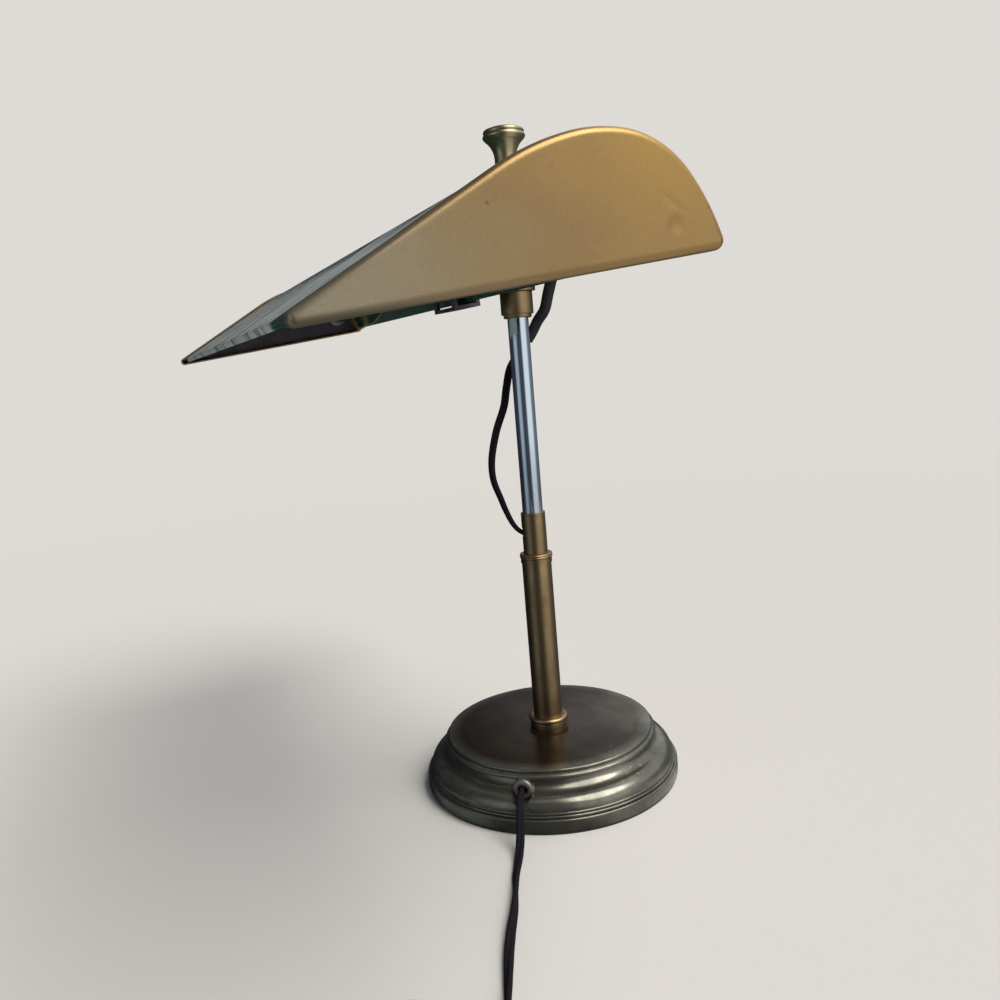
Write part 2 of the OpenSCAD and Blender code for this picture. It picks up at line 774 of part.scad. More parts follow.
module shade_bracket() {
    front = strap_front - strap_t;
    low = strap_z - strap_t;
    half = strap_w / 2;
    color("#4b4238") at_hinge() difference() {
        union() {
            along(-half, half) translate([front, low]) square([strap_rear + strap_t - front, strap_t]);
            along(-half, half) translate([strap_rear, low]) square([strap_t, over - low]);
            both_sides() along(leaf_in, leaf_out) translate([strap_rear, -leaf_t / 2])
                square([-strap_rear, leaf_t]);
            both_sides() along(leaf_in, leaf_out) circle(r = knuckle_r);
            both_sides() along(saddle_in, half) translate([front, low])
                square([strap_t, spine_rise + leaf_t / 2 - low]);
            both_sides() along(saddle_in, half) translate([-spine_in, spine_rise - leaf_t / 2])
                square([spine_in + strap_front, leaf_t]);
            both_sides() along(saddle_in, half) translate([-spine_in, spine_rise]) circle(r = saddle_r);
        }
        along(-half - over, half + over) circle(r = pin_r + run);
        along(-half - over, half + over) translate([-spine_in, spine_rise]) circle(r = spine_r + fit);
    }
}

// Pressed pan: its face, rounded edge and rim outside, and the same within, as rows of one skin
module end_plate() {
    steps = 5;
    inner_r = edge_r - pan_t;
    rows = concat(
        [
            for (i = [0:steps])
            let (a = 90 * i / steps)
            [half_len - edge_r + edge_r * cos(a), edge_r * sin(a) - edge_r]
        ],
        [[half_len - rim_w, 0], [half_len - rim_w, -pan_t]],
        [
            for (i = [steps:-1:0])
            let (a = 90 * i / steps)
            [half_len - edge_r + inner_r * cos(a), inner_r * sin(a) - edge_r]
        ]
    );
    n = len(plate_line(0));
    points = [
        for (row = rows)
        for (p = plate_line(row.y))
        [row.x, p.x + shade_shift.x, p.y + shade_shift.y]
    ];
    walls = [
        for (i = [0:len(rows) - 2])
        for (j = [0:n - 1])
        let (a = i * n + j, b = i * n + (j + 1) % n)
        each [[b, a, a + n], [b, a + n, b + n]]
    ];
    face = [for (j = [0:n - 1]) j];
    back = [for (j = [n - 1:-1:0]) (len(rows) - 1) * n + j];
    at_hinge() polyhedron(points, concat([face], walls, [back]));
}

module end_plate_right() {
    color("#8f7448") end_plate();
}

module end_plate_left() {
    color("#8f7448") mirror([1, 0, 0]) end_plate();
}

module shade_glass() {
    outer = glass_line(glass_out);
    inner = glass_line(glass_in);
    color("#4c6b57", 0.7) shade_section(-half_len + glass_end, half_len - glass_end)
        polygon(concat(outer, [for (i = [len(inner) - 1:-1:0]) inner[i]]));
}

module spine_tube() {
    reach = half_len - pan_t - spine_flange_t;
    color("#8a8d90") at_hinge() along(-reach, reach) translate([-spine_in, spine_rise]) difference() {
        circle(r = spine_r);
        circle(r = spine_r - spine_wall);
    }
}

module spine_flanges() {
    color("#7c7f82") at_hinge() both_sides() along(half_len - pan_t - spine_flange_t, half_len - pan_t)
        translate([-spine_in, spine_rise]) circle(r = spine_flange_r);
}

module glass_clips() {
    lip = glass_out + glass_seat;
    leg = glass_in - glass_seat;
    edge = -glass_drop - 2 * glass_seat;
    hook_end = half_len - rim_w - play;
    color("#6b5836") both_sides() {
        shade_section(hook_end - clip_w, hook_end) polygon([
            back_point(edge + clip_leg, leg - clip_t), back_point(edge - clip_t, leg - clip_t),
            back_point(edge - clip_t, lip + clip_t), back_point(edge + clip_lip, lip + clip_t),
            back_point(edge + clip_lip, lip), back_point(edge, lip), back_point(edge, leg),
            back_point(edge + clip_leg, leg)
        ]);
        shade_section(hook_end, half_len - pan_t - fit) polygon([
            back_point(edge + clip_leg, leg - clip_t), back_point(1, leg - clip_t), back_point(1, leg),
            back_point(edge + clip_leg, leg)
        ]);
    }
}

module lamp_block() {
    color("#2e2a28") at_hinge() difference() {
        union() {
            along(-block_half, block_half) translate([block_front, block_low])
                square([block_rear - block_front, block_top - block_low]);
            along(-lug_half, lug_half) translate([block_rear - over, spine_rise - block_lug_r + over])
                square([-spine_in - block_rear + over, 2 * block_lug_r - 2 * over]);
            along(-lug_half, lug_half) translate([-spine_in, spine_rise]) circle(r = block_lug_r);
        }
        along(-block_half, block_half) translate([-spine_in, spine_rise]) circle(r = spine_r + fit);
        translate([0, block_front - over, key_z]) rotate([-90, 0, 0])
            cylinder(r = key_stem_r + run, h = key_stem_in + over + play);
        both_sides() at_screw(block_low - over) cylinder(r = screw_r + fit, h = screw_len + over + play);
    }
}

// Places a shape on the axis of a cover screw, at a height in the hinge frame
module at_screw(z) {
    translate([block_half - screw_in, lamp_y + screw_back, z]) children();
}

module block_cover() {
    color("#3a3634") at_hinge() difference() {
        along(-block_half + cover_edge, block_half - cover_edge)
            translate([block_front + cover_edge, block_low - cover_t])
            square([block_rear - block_front - 2 * cover_edge, cover_t]);
        both_sides() at_screw(block_low - cover_t - over) cylinder(r = screw_r + fit, h = cover_t + 2 * over);
    }
}

module cover_screws() {
    color("#b9a36a") at_hinge() both_sides() at_screw(block_low - cover_t) {
        translate([0, 0, -screw_head_t]) cylinder(r = screw_head_r, h = screw_head_t);
        cylinder(r = screw_r, h = cover_t + screw_len);
    }
}

module lampholders() {
    color("#262322") at_hinge() both_sides() turned_x(lamp_y, lamp_rise) difference() {
        translate([0, block_half]) square([holder_r, holder_len]);
        translate([0, block_half + holder_floor]) square([shell_in_r + shell_wall + fit, holder_len]);
    }
}

module screw_shells() {
    color("#b9954f") at_hinge() both_sides() turned_x(lamp_y, lamp_rise)
        translate([shell_in_r, block_half + holder_floor])
        square([shell_wall, holder_len - holder_floor - shell_short]);
}

module bulb_caps() {
    cap_end = holder_end + cap_out;
    color("#c8b27a") at_hinge() both_sides() turned_x(lamp_y, lamp_rise) difference() {
        translate([0, cap_end - cap_len]) square([cap_r, cap_len]);
        translate([0, cap_end - cap_len + cap_floor]) square([cap_r - cap_wall, cap_len]);
    }
}

module bulb() {
    neck = cap_r - cap_wall - fit;
    z0 = holder_end + cap_out - bulb_neck_len;
    z1 = holder_end + 2 * cap_out;
    z2 = z1 + bulb_flare;
    z3 = holder_end + bulb_len - bulb_r;
    inner = bulb_r - bulb_wall;
    color("#f1ede2") at_hinge() turned_x(lamp_y, lamp_rise) polygon(concat(
        [[neck - bulb_wall, z0], [neck, z0], [neck, z1], [bulb_r, z2]],
        arc([0, z3], bulb_r, 0, 90, 10),
        arc([0, z3], inner, 90, 0, 10),
        [[inner, z2 + play], [neck - bulb_wall, z1 + play]]
    ));
}

module bulb_right() {
    bulb();
}

module bulb_left() {
    mirror([1, 0, 0]) bulb();
}

module switch_key() {
    face = block_front - play;
    color("#1f1c1b") at_hinge() translate([0, 0, key_z]) {
        translate([0, face - key_stem_out, 0]) rotate([-90, 0, 0])
            cylinder(r = key_stem_r, h = key_stem_in + key_stem_out);
        translate([0, face - key_stem_out - key_grip_len, 0]) rotate([-90, 0, 0])
            cylinder(r = key_r, h = key_grip_len);
        translate([-key_r, face - key_stem_out - 2 * key_grip_len, -key_wing_t / 2])
            cube([2 * key_r, key_grip_len, key_wing_t]);
    }
}

module cord_lead() {
    color("#2a2833") tube(smooth(lead_route, 2), cord_r, cord_sides, [0, 0, 1]);
}

// The coil spirals in on the table, climbs as it turns back, and spirals out on top
function coil_point(turn) =
    let (
        half = coil_turns / 2,
        r = coil_r - coil_pitch * (half - abs(turn - half)),
        rise = min(max((turn - half) * 2 + 0.5, 0), 1),
        a = coil_start - 360 * turn
    )
    [coil_c.x + r * cos(a), coil_c.y + r * sin(a), coil_z + coil_pitch * rise];

coil_end = coil_point(round(coil_turns * coil_rings) / coil_rings);
coil_end_a = coil_start - 360 * round(coil_turns * coil_rings) / coil_rings;
coil_end_dir = [sin(coil_end_a), -cos(coil_end_a), 0];
tail_start = coil_end + coil_run * coil_end_dir;
tail_end = [tail_start.x + tail_len * coil_end_dir.x, tail_start.y + tail_len * coil_end_dir.y, plug_t / 2];

coil_path = concat(
    [lead_end],
    [for (i = [0:round(coil_turns * coil_rings)]) coil_point(i / coil_rings)],
    [tail_start]
);
// Least distance between points of the coil that are half a turn or more apart, less the cord
function coil_self_gap() = min([
    for (i = [1:len(coil_path) - 2])
    for (j = [i + coil_rings / 2:1:len(coil_path) - 2])
    norm(coil_path[i] - coil_path[j])
]) - cord_d;

module cord_coil() {
    color("#2a2833") tube(coil_path, cord_r, coil_sides, [0, 0, 1]);
}

module cord_tail() {
    ends = [0, 0.1, 0.25];
    route = concat(
        [for (k = ends) tail_start + k * tail_len * coil_end_dir],
        [for (i = [2:-1:0]) tail_end - ends[i] * tail_len * coil_end_dir]
    );
    color("#2a2833") tube(smooth(route, 2), cord_r, cord_sides, [0, 0, 1]);
}

// Rectangular loop round all the turns at one side of the coil
module coil_tie() {
    inner_r = coil_r - coil_pitch * coil_turns / 2 - cord_r - tie_gap;
    outer_r = coil_r + cord_r + tie_gap;
    top = coil_z + coil_pitch + cord_r + play;
    color("#1b1a1d") translate([coil_c.x, coil_c.y, 0]) rotate([0, 0, tie_az])
        translate([0, tie_w / 2, 0]) rotate([90, 0, 0]) linear_extrude(tie_w) difference() {
            translate([inner_r, 0]) square([outer_r - inner_r, top + tie_t]);
            translate([inner_r + tie_t, tie_t - fit])
                square([outer_r - inner_r - 2 * tie_t, top - tie_t + fit]);
        }
}

// Places a shape at the plug, with X pointing out of the cord
module at_plug() {
    translate(tail_end) rotate([0, 0, atan2(coil_end_dir.y, coil_end_dir.x)]) children();
}

module plug_body() {
    half = plug_w / 2;
    color("#1e1c1f") at_plug() {
        rotate([0, 90, 0]) cylinder(r = plug_t / 2 - plug_break, h = plug_neck + over);
        translate([plug_neck, 0, -plug_t / 2]) linear_extrude(plug_t) polygon([
            [0, -half / 2], [plug_corner, -half], [plug_len - plug_break, -half],
            [plug_len, plug_break - half], [plug_len, half - plug_break], [plug_len - plug_break, half],
            [plug_corner, half], [0, half / 2]
        ]);
    }
}

module plug_pins() {
    color("#c7c9cc") at_plug() for (s = [-1, 1])
        translate([plug_neck + plug_len, s * pin_gap / 2, 0]) rotate([0, 90, 0])
            cylinder(r = plug_pin_r, h = pin_len);
}

echo(coil_least_gap = coil_self_gap());  // cord_coil

base_shell();
base_weight();
closing_plate();
base_felt();
foot_collar();
stem_nipple();
nipple_nut();
nipple_washer();
tube_plug();
outer_tube();
tube_ring();
outlet_bushing();
friction_bush();
inner_sleeve();
retaining_ring();
plated_tube();
head_collar();
head_post();
arm_bracket();
post_spacer();
clamp_knob();
hinge_pin();
hinge_nut();
strain_relief();
loop_cord();
shade_bracket();
end_plate_right();
end_plate_left();
shade_glass();
spine_tube();
spine_flanges();
glass_clips();
lamp_block();
block_cover();
cover_screws();
lampholders();
screw_shells();
bulb_caps();
bulb_right();
bulb_left();
switch_key();
cord_lead();
cord_coil();
cord_tail();
coil_tie();
plug_body();
plug_pins();
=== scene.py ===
# %% [markdown]
# # A desk lamp with a bent glass shade
# The lamp has a round bronze base, a stem of three tubes that slide in each other, and a long
# sheet of green glass between two bronze end plates. The solids of the lamp come from a CAD
# frame, in metres, with Z up and the foot of the stem at the origin. This lesson dresses them:
# the turned, pressed and bent pieces are modelled again with smooth edges, the cords become
# woven flex, and every piece gets a finish.

import json
import math

import bpy
from mathutils import Matrix, Vector


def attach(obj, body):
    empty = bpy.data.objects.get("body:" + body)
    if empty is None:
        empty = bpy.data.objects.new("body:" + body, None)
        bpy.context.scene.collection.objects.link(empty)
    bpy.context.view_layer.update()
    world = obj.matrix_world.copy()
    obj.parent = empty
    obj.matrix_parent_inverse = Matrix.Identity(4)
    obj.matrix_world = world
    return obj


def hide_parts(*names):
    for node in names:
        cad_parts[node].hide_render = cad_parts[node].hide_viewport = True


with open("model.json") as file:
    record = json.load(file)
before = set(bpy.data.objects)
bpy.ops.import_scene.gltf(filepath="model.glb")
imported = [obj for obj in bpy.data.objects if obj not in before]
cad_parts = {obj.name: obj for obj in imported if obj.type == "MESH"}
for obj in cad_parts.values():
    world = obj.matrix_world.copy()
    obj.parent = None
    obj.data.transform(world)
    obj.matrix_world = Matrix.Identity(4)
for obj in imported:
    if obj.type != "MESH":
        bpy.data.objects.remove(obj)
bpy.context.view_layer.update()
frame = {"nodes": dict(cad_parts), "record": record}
MM = 0.001

# %% [markdown]
# ## Camera
# A photograph fixes the camera: where it stands, how far it looks down, how much it leans, and
# how long its lens is. The three axes of the camera are worked out from those angles and put
# into its matrix, because that says all of it at once, with no order of turns to get wrong.

# %% Camera
IMAGE_PX = 1000
FOCAL_PX = 881.9
SENSOR_MM = 36.0
camera_place = Vector((504.85, -227.43, 276.26)) * MM
heading, pitch, lean = 0.3868, 0.1636, -0.0832

ahead = Vector((-math.cos(heading) * math.cos(pitch), math.sin(heading) * math.cos(pitch),
                -math.sin(pitch)))
level = Vector((math.sin(heading), math.cos(heading), 0))
over = level.cross(ahead)
right = math.cos(lean) * level + math.sin(lean) * over
up = -math.sin(lean) * level + math.cos(lean) * over

camera_data = bpy.data.cameras.new("photo_camera")
camera_data.sensor_width = SENSOR_MM
camera_data.lens = FOCAL_PX * SENSOR_MM / IMAGE_PX
camera_data.clip_start = 0.01
camera = bpy.data.objects.new("photo_camera", camera_data)
bpy.context.scene.collection.objects.link(camera)
turn = Matrix((right, up, -ahead)).transposed().to_4x4()
camera.matrix_world = Matrix.Translation(camera_place) @ turn
bpy.context.scene.camera = camera
print("lens:", round(camera_data.lens, 2), "mm")

# %% [markdown]
# ## Nodes and colours
# Every finish is a small tree of shader nodes. One function adds a node with its settings and
# links, so that a material reads like a recipe. Colours are written as sRGB hex values, as a
# colour picker shows them, and Blender's shaders want linear light, so another function turns
# one into the other. Sizes of patterns are given in millimetres.

# %% Helpers for finishes
def linear(hex_colour):
    values = [int(hex_colour[i:i + 2], 16) / 255 for i in (1, 3, 5)]
    return [c / 12.92 if c <= 0.04045 else ((c + 0.055) / 1.055) ** 2.4 for c in values] + [1.0]


def grey(value):
    return (value, value, value, 1)


def per_mm(size_mm):
    return 1 / (size_mm * MM)


def add(tree, kind, settings=None, stops=None, **links):
    """Adds a node, sets it up, and feeds its sockets with links or values; _3 is socket 3."""
    node = tree.nodes.new("ShaderNode" + kind)
    for key, value in (settings or {}).items():
        setattr(node, key, value)
    for element in (stops or [])[2:]:
        node.color_ramp.elements.new(0.5)
    for element, (position, colour) in zip(node.color_ramp.elements if stops else [], stops or []):
        element.position = position
        element.color = colour
    for key, value in links.items():
        socket = node.inputs[int(key[1:])] if key[0] == "_" else node.inputs[key.replace("_", " ")]
        if isinstance(value, bpy.types.NodeSocket):
            tree.links.new(value, socket)
        else:
            socket.default_value = value
    return node


def finish(name, **constants):
    """A new material with its tree, its shader and the place on the object."""
    material = bpy.data.materials.new(name)
    material.use_nodes = True
    tree = material.node_tree
    shader = tree.nodes["Principled BSDF"]
    for key, value in constants.items():
        shader.inputs[key.replace("_", " ")].default_value = value
    place = add(tree, "TexCoord").outputs["Object"]
    return material, tree, shader, place


MULTIPLY = {"data_type": "RGBA", "blend_type": "MULTIPLY"}
BLEND = {"data_type": "RGBA"}

# %% [markdown]
# ## Woven flex
# The flex is two cores side by side in a braid of charcoal cotton. The braid is two sets of
# threads that wind round in opposite directions and pass over and under each other. A wave along
# the cord plus a wave round it gives one set, and the same with the other sign gives the other.
# The pattern follows the cord, so it is drawn on the UV map of the tube and not in space.

# %% Woven flex finish
THREADS_ROUND = 8
THREAD_PITCH = 2.8 * MM

# Braided cotton: dull, nearly black, with a painted paler sheen on the crown of each thread and
# painted shade between threads
flex, tree, shader, place = finish("braided_cotton_flex", Roughness=0.8, Specular_IOR_Level=0.25)
uv = add(tree, "UVMap", {"uv_map": "UVMap"}).outputs["UV"]
split = add(tree, "SeparateXYZ", Vector=uv)
round_wave = add(tree, "Math", {"operation": "MULTIPLY"}, _0=split.outputs["X"],
                 _1=THREADS_ROUND * math.tau)
along_wave = add(tree, "Math", {"operation": "MULTIPLY"}, _0=split.outputs["Y"],
                 _1=math.tau / THREAD_PITCH)
waves = []
for operation in ("ADD", "SUBTRACT"):
    both = add(tree, "Math", {"operation": operation}, _0=along_wave.outputs[0],
               _1=round_wave.outputs[0])
    waves.append(add(tree, "Math", {"operation": "SINE"}, _0=both.outputs[0]).outputs[0])
threads = add(tree, "Math", {"operation": "MAXIMUM"}, _0=waves[0], _1=waves[1]).outputs[0]
height = add(tree, "MapRange", Value=threads, From_Min=-1.0, From_Max=1.0).outputs["Result"]
fuzz = add(tree, "TexNoise", Vector=place, Scale=per_mm(0.6), Detail=3.0).outputs["Fac"]
# Painted sheen and shade: the ramp makes the crown of each thread paler and the hollow between
# threads darker
painted_thread_sheen = add(tree, "ValToRGB", stops=[(0.2, linear("#040306")), (0.75, linear("#0f0c14")),
                                             (1.0, linear("#1e1a26"))], Fac=height)
worn = add(tree, "ValToRGB", stops=[(0.35, grey(0.75)), (0.7, grey(1.0))], Fac=fuzz)
cloth_colour = add(tree, "Mix", MULTIPLY, _0=1.0, _6=painted_thread_sheen.outputs[0], _7=worn.outputs[0])
tree.links.new(cloth_colour.outputs[2], shader.inputs["Base Color"])
relief = add(tree, "Bump", Height=height, Strength=0.8, Distance=0.4 * MM)
tree.links.new(relief.outputs[0], shader.inputs["Normal"])
print("finish:", flex.name)

# %% [markdown]
# ## Cords
# A cord is one smooth curve through chosen points, and a tube round it. The curve here is the
# same one that the CAD uses. The tube is made ring by ring. A ring is the outline of two cores
# that lie side by side, and each ring is turned from the last one as little as the bend allows,
# plus a slow twist, because such a flat flex never lies quite flat. Its UV map counts turns
# round the cord and metres along it.

# %% Curves and tubes
def smooth(points, steps):
    """A curve that passes through all the points, with steps between each two."""
    points = [Vector(p) for p in points]
    curve = []
    for i in range(len(points) - 1):
        a, b, c = points[max(i - 1, 0)], points[i], points[i + 1]
        d = points[min(i + 2, len(points) - 1)]
        for k in range(steps):
            t = k / steps
            curve.append(0.5 * (2 * b + (c - a) * t + (2 * a - 5 * b + 4 * c - d) * t ** 2
                                + (3 * b - a - 3 * c + d) * t ** 3))
    return curve + [points[-1]]


def path_length(points):
    return sum((b - a).length for a, b in zip(points, points[1:]))


CORE_R, CORE_APART = 1.4 * MM, 1.1 * MM


def cord_tube(name, points, wide, twist, sides=20):
    """A closed tube of two cores along the points, first side by side along wide.

    The twist is in radians for each metre."""
    verts, faces, uvs = [], [], []
    side = Vector(wide)
    along = 0.0
    for i, p in enumerate(points):
        t = (points[min(i + 1, len(points) - 1)] - points[max(i - 1, 0)]).normalized()
        step = (p - points[i - 1]).length if i else 0.0
        along += step
        side = Matrix.Rotation(twist * step, 3, t) @ (side - side.dot(t) * t).normalized()
        cross = t.cross(side)
        for j in range(sides):
            a = math.tau * j / sides
            across = CORE_APART * math.sin(a)
            reach = CORE_APART * abs(math.cos(a)) + math.sqrt(CORE_R ** 2 - across ** 2)
            verts.append(p + reach * (math.cos(a) * side + math.sin(a) * cross))
            if i:
                k = (j + 1) % sides
                faces.append([(i - 1) * sides + j, (i - 1) * sides + k, i * sides + k,
                              i * sides + j])
                u0, u1 = j / sides, (j + 1) / sides
                uvs += [(u0, along - step), (u1, along - step), (u1, along), (u0, along)]
    last = (len(points) - 1) * sides
    for cap in ([*range(sides - 1, -1, -1)], [*range(last, last + sides)]):
        faces.append(cap)
        uvs += [(0.0, 0.0)] * sides
    mesh = bpy.data.meshes.new(name)
    mesh.from_pydata(verts, [], faces)
    layer = mesh.uv_layers.new(name="UVMap")
    layer.data.foreach_set("uv", [c for pair in uvs for c in pair])
    mesh.polygons.foreach_set("use_smooth", [True] * len(faces))
    piece = bpy.data.objects.new(name, mesh)
    bpy.context.scene.collection.objects.link(piece)
    piece.data.materials.append(flex)
    return piece


# %% [markdown]
# ## The loop of flex beside the stem
# The wires come out of the sleeve through a slanted hole, hang in a loose loop, pass behind the
# plated tube and go up into a rubber strain relief on the arm. Both ends of the loop start
# straight, along the hole and along the relief. The loop rides on the mast, which carries both.

# %% Loop of flex
def way(azimuth, rise):
    """A direction from its compass turn and its rise, in degrees."""
    a, e = math.radians(azimuth), math.radians(rise)
    return Vector((math.cos(a) * math.cos(e), math.sin(a) * math.cos(e), math.sin(e)))


SLEEVE_R, HOLE_AZ, HOLE_RISE, HOLE_Z = 7.75, -114.3, 35, 163
LUG_REACH, LUG_AZ, LUG_Z = 23, 74, 320
RELIEF_AZ, RELIEF_LEAN = 38.5, 19
LOOP_TWIST = 14
hole_at = SLEEVE_R * way(HOLE_AZ, 0) + Vector((0, 0, HOLE_Z))
hole_way = way(HOLE_AZ, HOLE_RISE)
lug_at = LUG_REACH * way(LUG_AZ, 0) + Vector((0, 0, LUG_Z))
lug_way = way(RELIEF_AZ, 90 - RELIEF_LEAN)
LOOP_MM = [
    (-5.6, -12.4, 6.5), (-6.9, -15.3, 14), (-8, -18, 23), (-9.6, -21.2, 35),
    (-12.4, -20, 48), (-13.3, -15, 65), (-12.7, -8.7, 80), (-13.4, -5.5, 92),
    (-13, -2, 104), (-10.5, 4.7, 114), (-6.5, 11, 123.5), (-2.9, 14.6, 131.5),
]
loop_points = [hole_at - 2 * hole_way, hole_at + 3 * hole_way]
loop_points += [Vector(p) + Vector((0, 0, hole_at.z)) for p in LOOP_MM]
loop_points += [lug_at + t * lug_way for t in (-20, -10, 4)]
loop_line = [p * MM for p in smooth(loop_points, 6)]
loop = cord_tube("loop_flex", loop_line, (1, 0, 0), LOOP_TWIST)
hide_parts("loop_cord")
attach(loop, "mast")
print("loop of flex:", round(path_length(loop_line), 3), "m")

# %% [markdown]
# ## The mains lead
# The lead leaves the base through a bushing, drops to the table and runs off in slow bends. What
# is left of its length is wound in a neat coil: in on the table, up where it turns back, and out
# on top, with the plug beside it. Lead, coil and tail are one curve and so one tube. Its points
# count outwards from the seat of the bushing, sideways, and up from the table.

# %% Mains lead
OUTLET_AZ, OUTLET_SEAT, OUTLET_Z = -39.5, 66.1, 22
LEAD_MM = [
    (1.5, 0.2, 22), (7, 0.2, 22), (13.4, 1, 21.2), (19.4, 2.2, 18.7), (24.6, 3.4, 14.7),
    (28.9, 4.3, 9.9), (34.1, 5.2, 5.9), (40.1, 6.2, 3.4), (46.5, 7.3, 2.6), (53, 8.5, 2.6),
    (60, 9.8, 2.6), (76, 14, 2.6),
    (88.5, 16.8, 2.6), (100, 18.8, 2.6), (112, 21.2, 2.6), (124.5, 24.2, 2.6), (138.5, 28, 2.6),
    (151.5, 31.6, 2.7), (164.5, 34.6, 3.1), (177.6, 37.6, 3.3), (187.3, 40, 3.3), (197, 42.4, 3.3),
]
COIL_R, COIL_PITCH, COIL_Z = 41.5, 5.5, 3.3
COIL_STEPS = 24
COIL_TURNS, COIL_EXTRA = 8, 2
COIL_COUNT = COIL_TURNS * COIL_STEPS + COIL_EXTRA
STRAIGHT = 5.0
TAIL, PLUG_AXIS_Z = 28.0, 7.0
HALF_TWIST = 82 * MM

# %% Coil, tail and the whole lead
out_way, side_way = way(OUTLET_AZ, 0), way(OUTLET_AZ + 90, 0)
lead_points = [(OUTLET_SEAT + a) * out_way + b * side_way + Vector((0, 0, z))
               for a, b, z in LEAD_MM]
lead_way = (0.97 * out_way + 0.24 * side_way).normalized()
coil_middle = lead_points[-1] + STRAIGHT * lead_way
coil_middle += COIL_R * Vector((lead_way.y, -lead_way.x, 0))
coil_start = math.pi / 2 + math.atan2(lead_way.y, lead_way.x)


def coil_point(step):
    turns, half = step / COIL_STEPS, COIL_COUNT / COIL_STEPS / 2
    radius = COIL_R - COIL_PITCH * (half - abs(turns - half))
    rise = min(max((turns - half) * 2 + 0.5, 0), 1)
    a = coil_start - math.tau * turns
    return Vector((coil_middle.x + radius * math.cos(a), coil_middle.y + radius * math.sin(a),
                   COIL_Z + COIL_PITCH * rise))


coil_line = [coil_point(i) for i in range(COIL_COUNT + 1)]
last_angle = coil_start - math.tau * COIL_COUNT / COIL_STEPS
tail_way = Vector((math.sin(last_angle), -math.cos(last_angle), 0))
tail_start = coil_line[-1] + STRAIGHT * tail_way
tail_end = tail_start + TAIL * tail_way
tail_end.z = PLUG_AXIS_Z
tail_points = [tail_start + k * TAIL * tail_way for k in (0, 0.1, 0.25)]
tail_points += [tail_end - k * TAIL * tail_way for k in (0.25, 0.1, 0)]
lead_line = [p * MM for p in smooth(lead_points, 5) + coil_line + smooth(tail_points, 3)]
lead = cord_tube("mains_flex", lead_line, (0, 0, 1), math.pi / HALF_TWIST)
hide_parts("cord_lead", "cord_coil", "cord_tail")
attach(lead, "base")
print("mains lead:", round(path_length(lead_line), 3), "m")

# %% [markdown]
# ## Table and light
# The lamp stands on a plain pale table in a bright room. A wide sun gives soft shadows and
# lights the table evenly. The table fades out into the background, which has the same colour, so
# no edge is seen. Metal shows what is round it and looks flat in an even white room, so the walls
# that it mirrors are bright at a window and dark beside it, the ceiling is dark in front, with a
# high window behind the lamp, and the mirrored table is greyer.

# %% Table
TABLE, TABLE_SIZE = "#e2e0dc", 8
FADE_NEAR, FADE_FAR = 0.9, 2.6
bpy.ops.object.select_all(action="DESELECT")
bpy.ops.mesh.primitive_plane_add(size=TABLE_SIZE)
table = bpy.context.object
table.name = "table"
WALLS = [(0.0, "#33323b"), (0.21, "#3f3e48"), (0.26, "#b4bfc8"), (0.31, "#b4bfc8"),
         (0.37, "#454550"), (0.47, "#55565f"), (0.51, "#ffffff"), (0.63, "#ffffff"),
         (0.69, "#85888f"), (1.0, "#33323b")]


def walls(tree, direction):
    """The colour of the room's walls in a direction: a window, a pale curtain, and dark between."""
    axes = add(tree, "SeparateXYZ", Vector=direction)
    compass = add(tree, "Math", {"operation": "ARCTAN2"}, _0=axes.outputs["Y"],
                  _1=axes.outputs["X"]).outputs[0]
    part = add(tree, "MapRange", Value=compass, From_Min=-math.pi, From_Max=math.pi).outputs[0]
    return add(tree, "ValToRGB", stops=[(at, linear(c)) for at, c in WALLS], Fac=part).outputs[0]


pale_table, tree, shader, place = finish("pale_table", Roughness=1.0, Specular_IOR_Level=0.0)
mirrored = add(tree, "LightPath").outputs["Is Glossy Ray"]
dim = add(tree, "Mix", MULTIPLY, _0=1.0, _6=walls(tree, place), _7=grey(0.7)).outputs[2]
top = add(tree, "Mix", BLEND, _0=mirrored, _6=linear(TABLE), _7=dim).outputs[2]
tree.links.new(top, shader.inputs["Base Color"])
far_off = add(tree, "VectorMath", {"operation": "LENGTH"}, _0=place).outputs["Value"]
fade = add(tree, "MapRange", {"interpolation_type": "SMOOTHSTEP"}, Value=far_off, From_Min=FADE_FAR,
           From_Max=FADE_NEAR)
tree.links.new(fade.outputs[0], shader.inputs["Alpha"])
table.data.materials.append(pale_table)

# %% Sun
SUN_STRENGTH, SUN_WIDTH, SUN_WAY = 2.35, 45, (-0.5, -0.35, -1)
sun_data = bpy.data.lights.new("window_sun", "SUN")
sun_data.energy = SUN_STRENGTH
sun_data.angle = math.radians(SUN_WIDTH)
sun_data.color = linear("#fffaf3")[:3]
sun = bpy.data.objects.new("window_sun", sun_data)
sun.rotation_mode = "QUATERNION"
sun.rotation_quaternion = Vector(SUN_WAY).to_track_quat("-Z", "Y")
bpy.context.scene.collection.objects.link(sun)

# %% Room
PALE, CEILING, SKY = "#dedbd6", "#46474c", "#f4f6f8"
world = bpy.data.worlds.new("room")
bpy.context.scene.world = world
world.use_nodes = True
tree = world.node_tree
towards = add(tree, "TexCoord").outputs["Generated"]
axes = add(tree, "SeparateXYZ", Vector=towards)
rise = add(tree, "MapRange", Value=axes.outputs["Z"], From_Min=0.45, From_Max=0.75).outputs[0]
room = add(tree, "Mix", BLEND, _0=rise, _6=walls(tree, towards), _7=linear(CEILING)).outputs[2]
behind = add(tree, "MapRange", Value=axes.outputs["Y"], From_Min=0.25, From_Max=0.5).outputs[0]
above = add(tree, "MapRange", Value=axes.outputs["Z"], From_Min=0.2, From_Max=0.34).outputs[0]
high_window = add(tree, "Math", {"operation": "MULTIPLY"}, _0=behind, _1=above).outputs[0]
room = add(tree, "Mix", BLEND, _0=high_window, _6=room, _7=linear(SKY)).outputs[2]
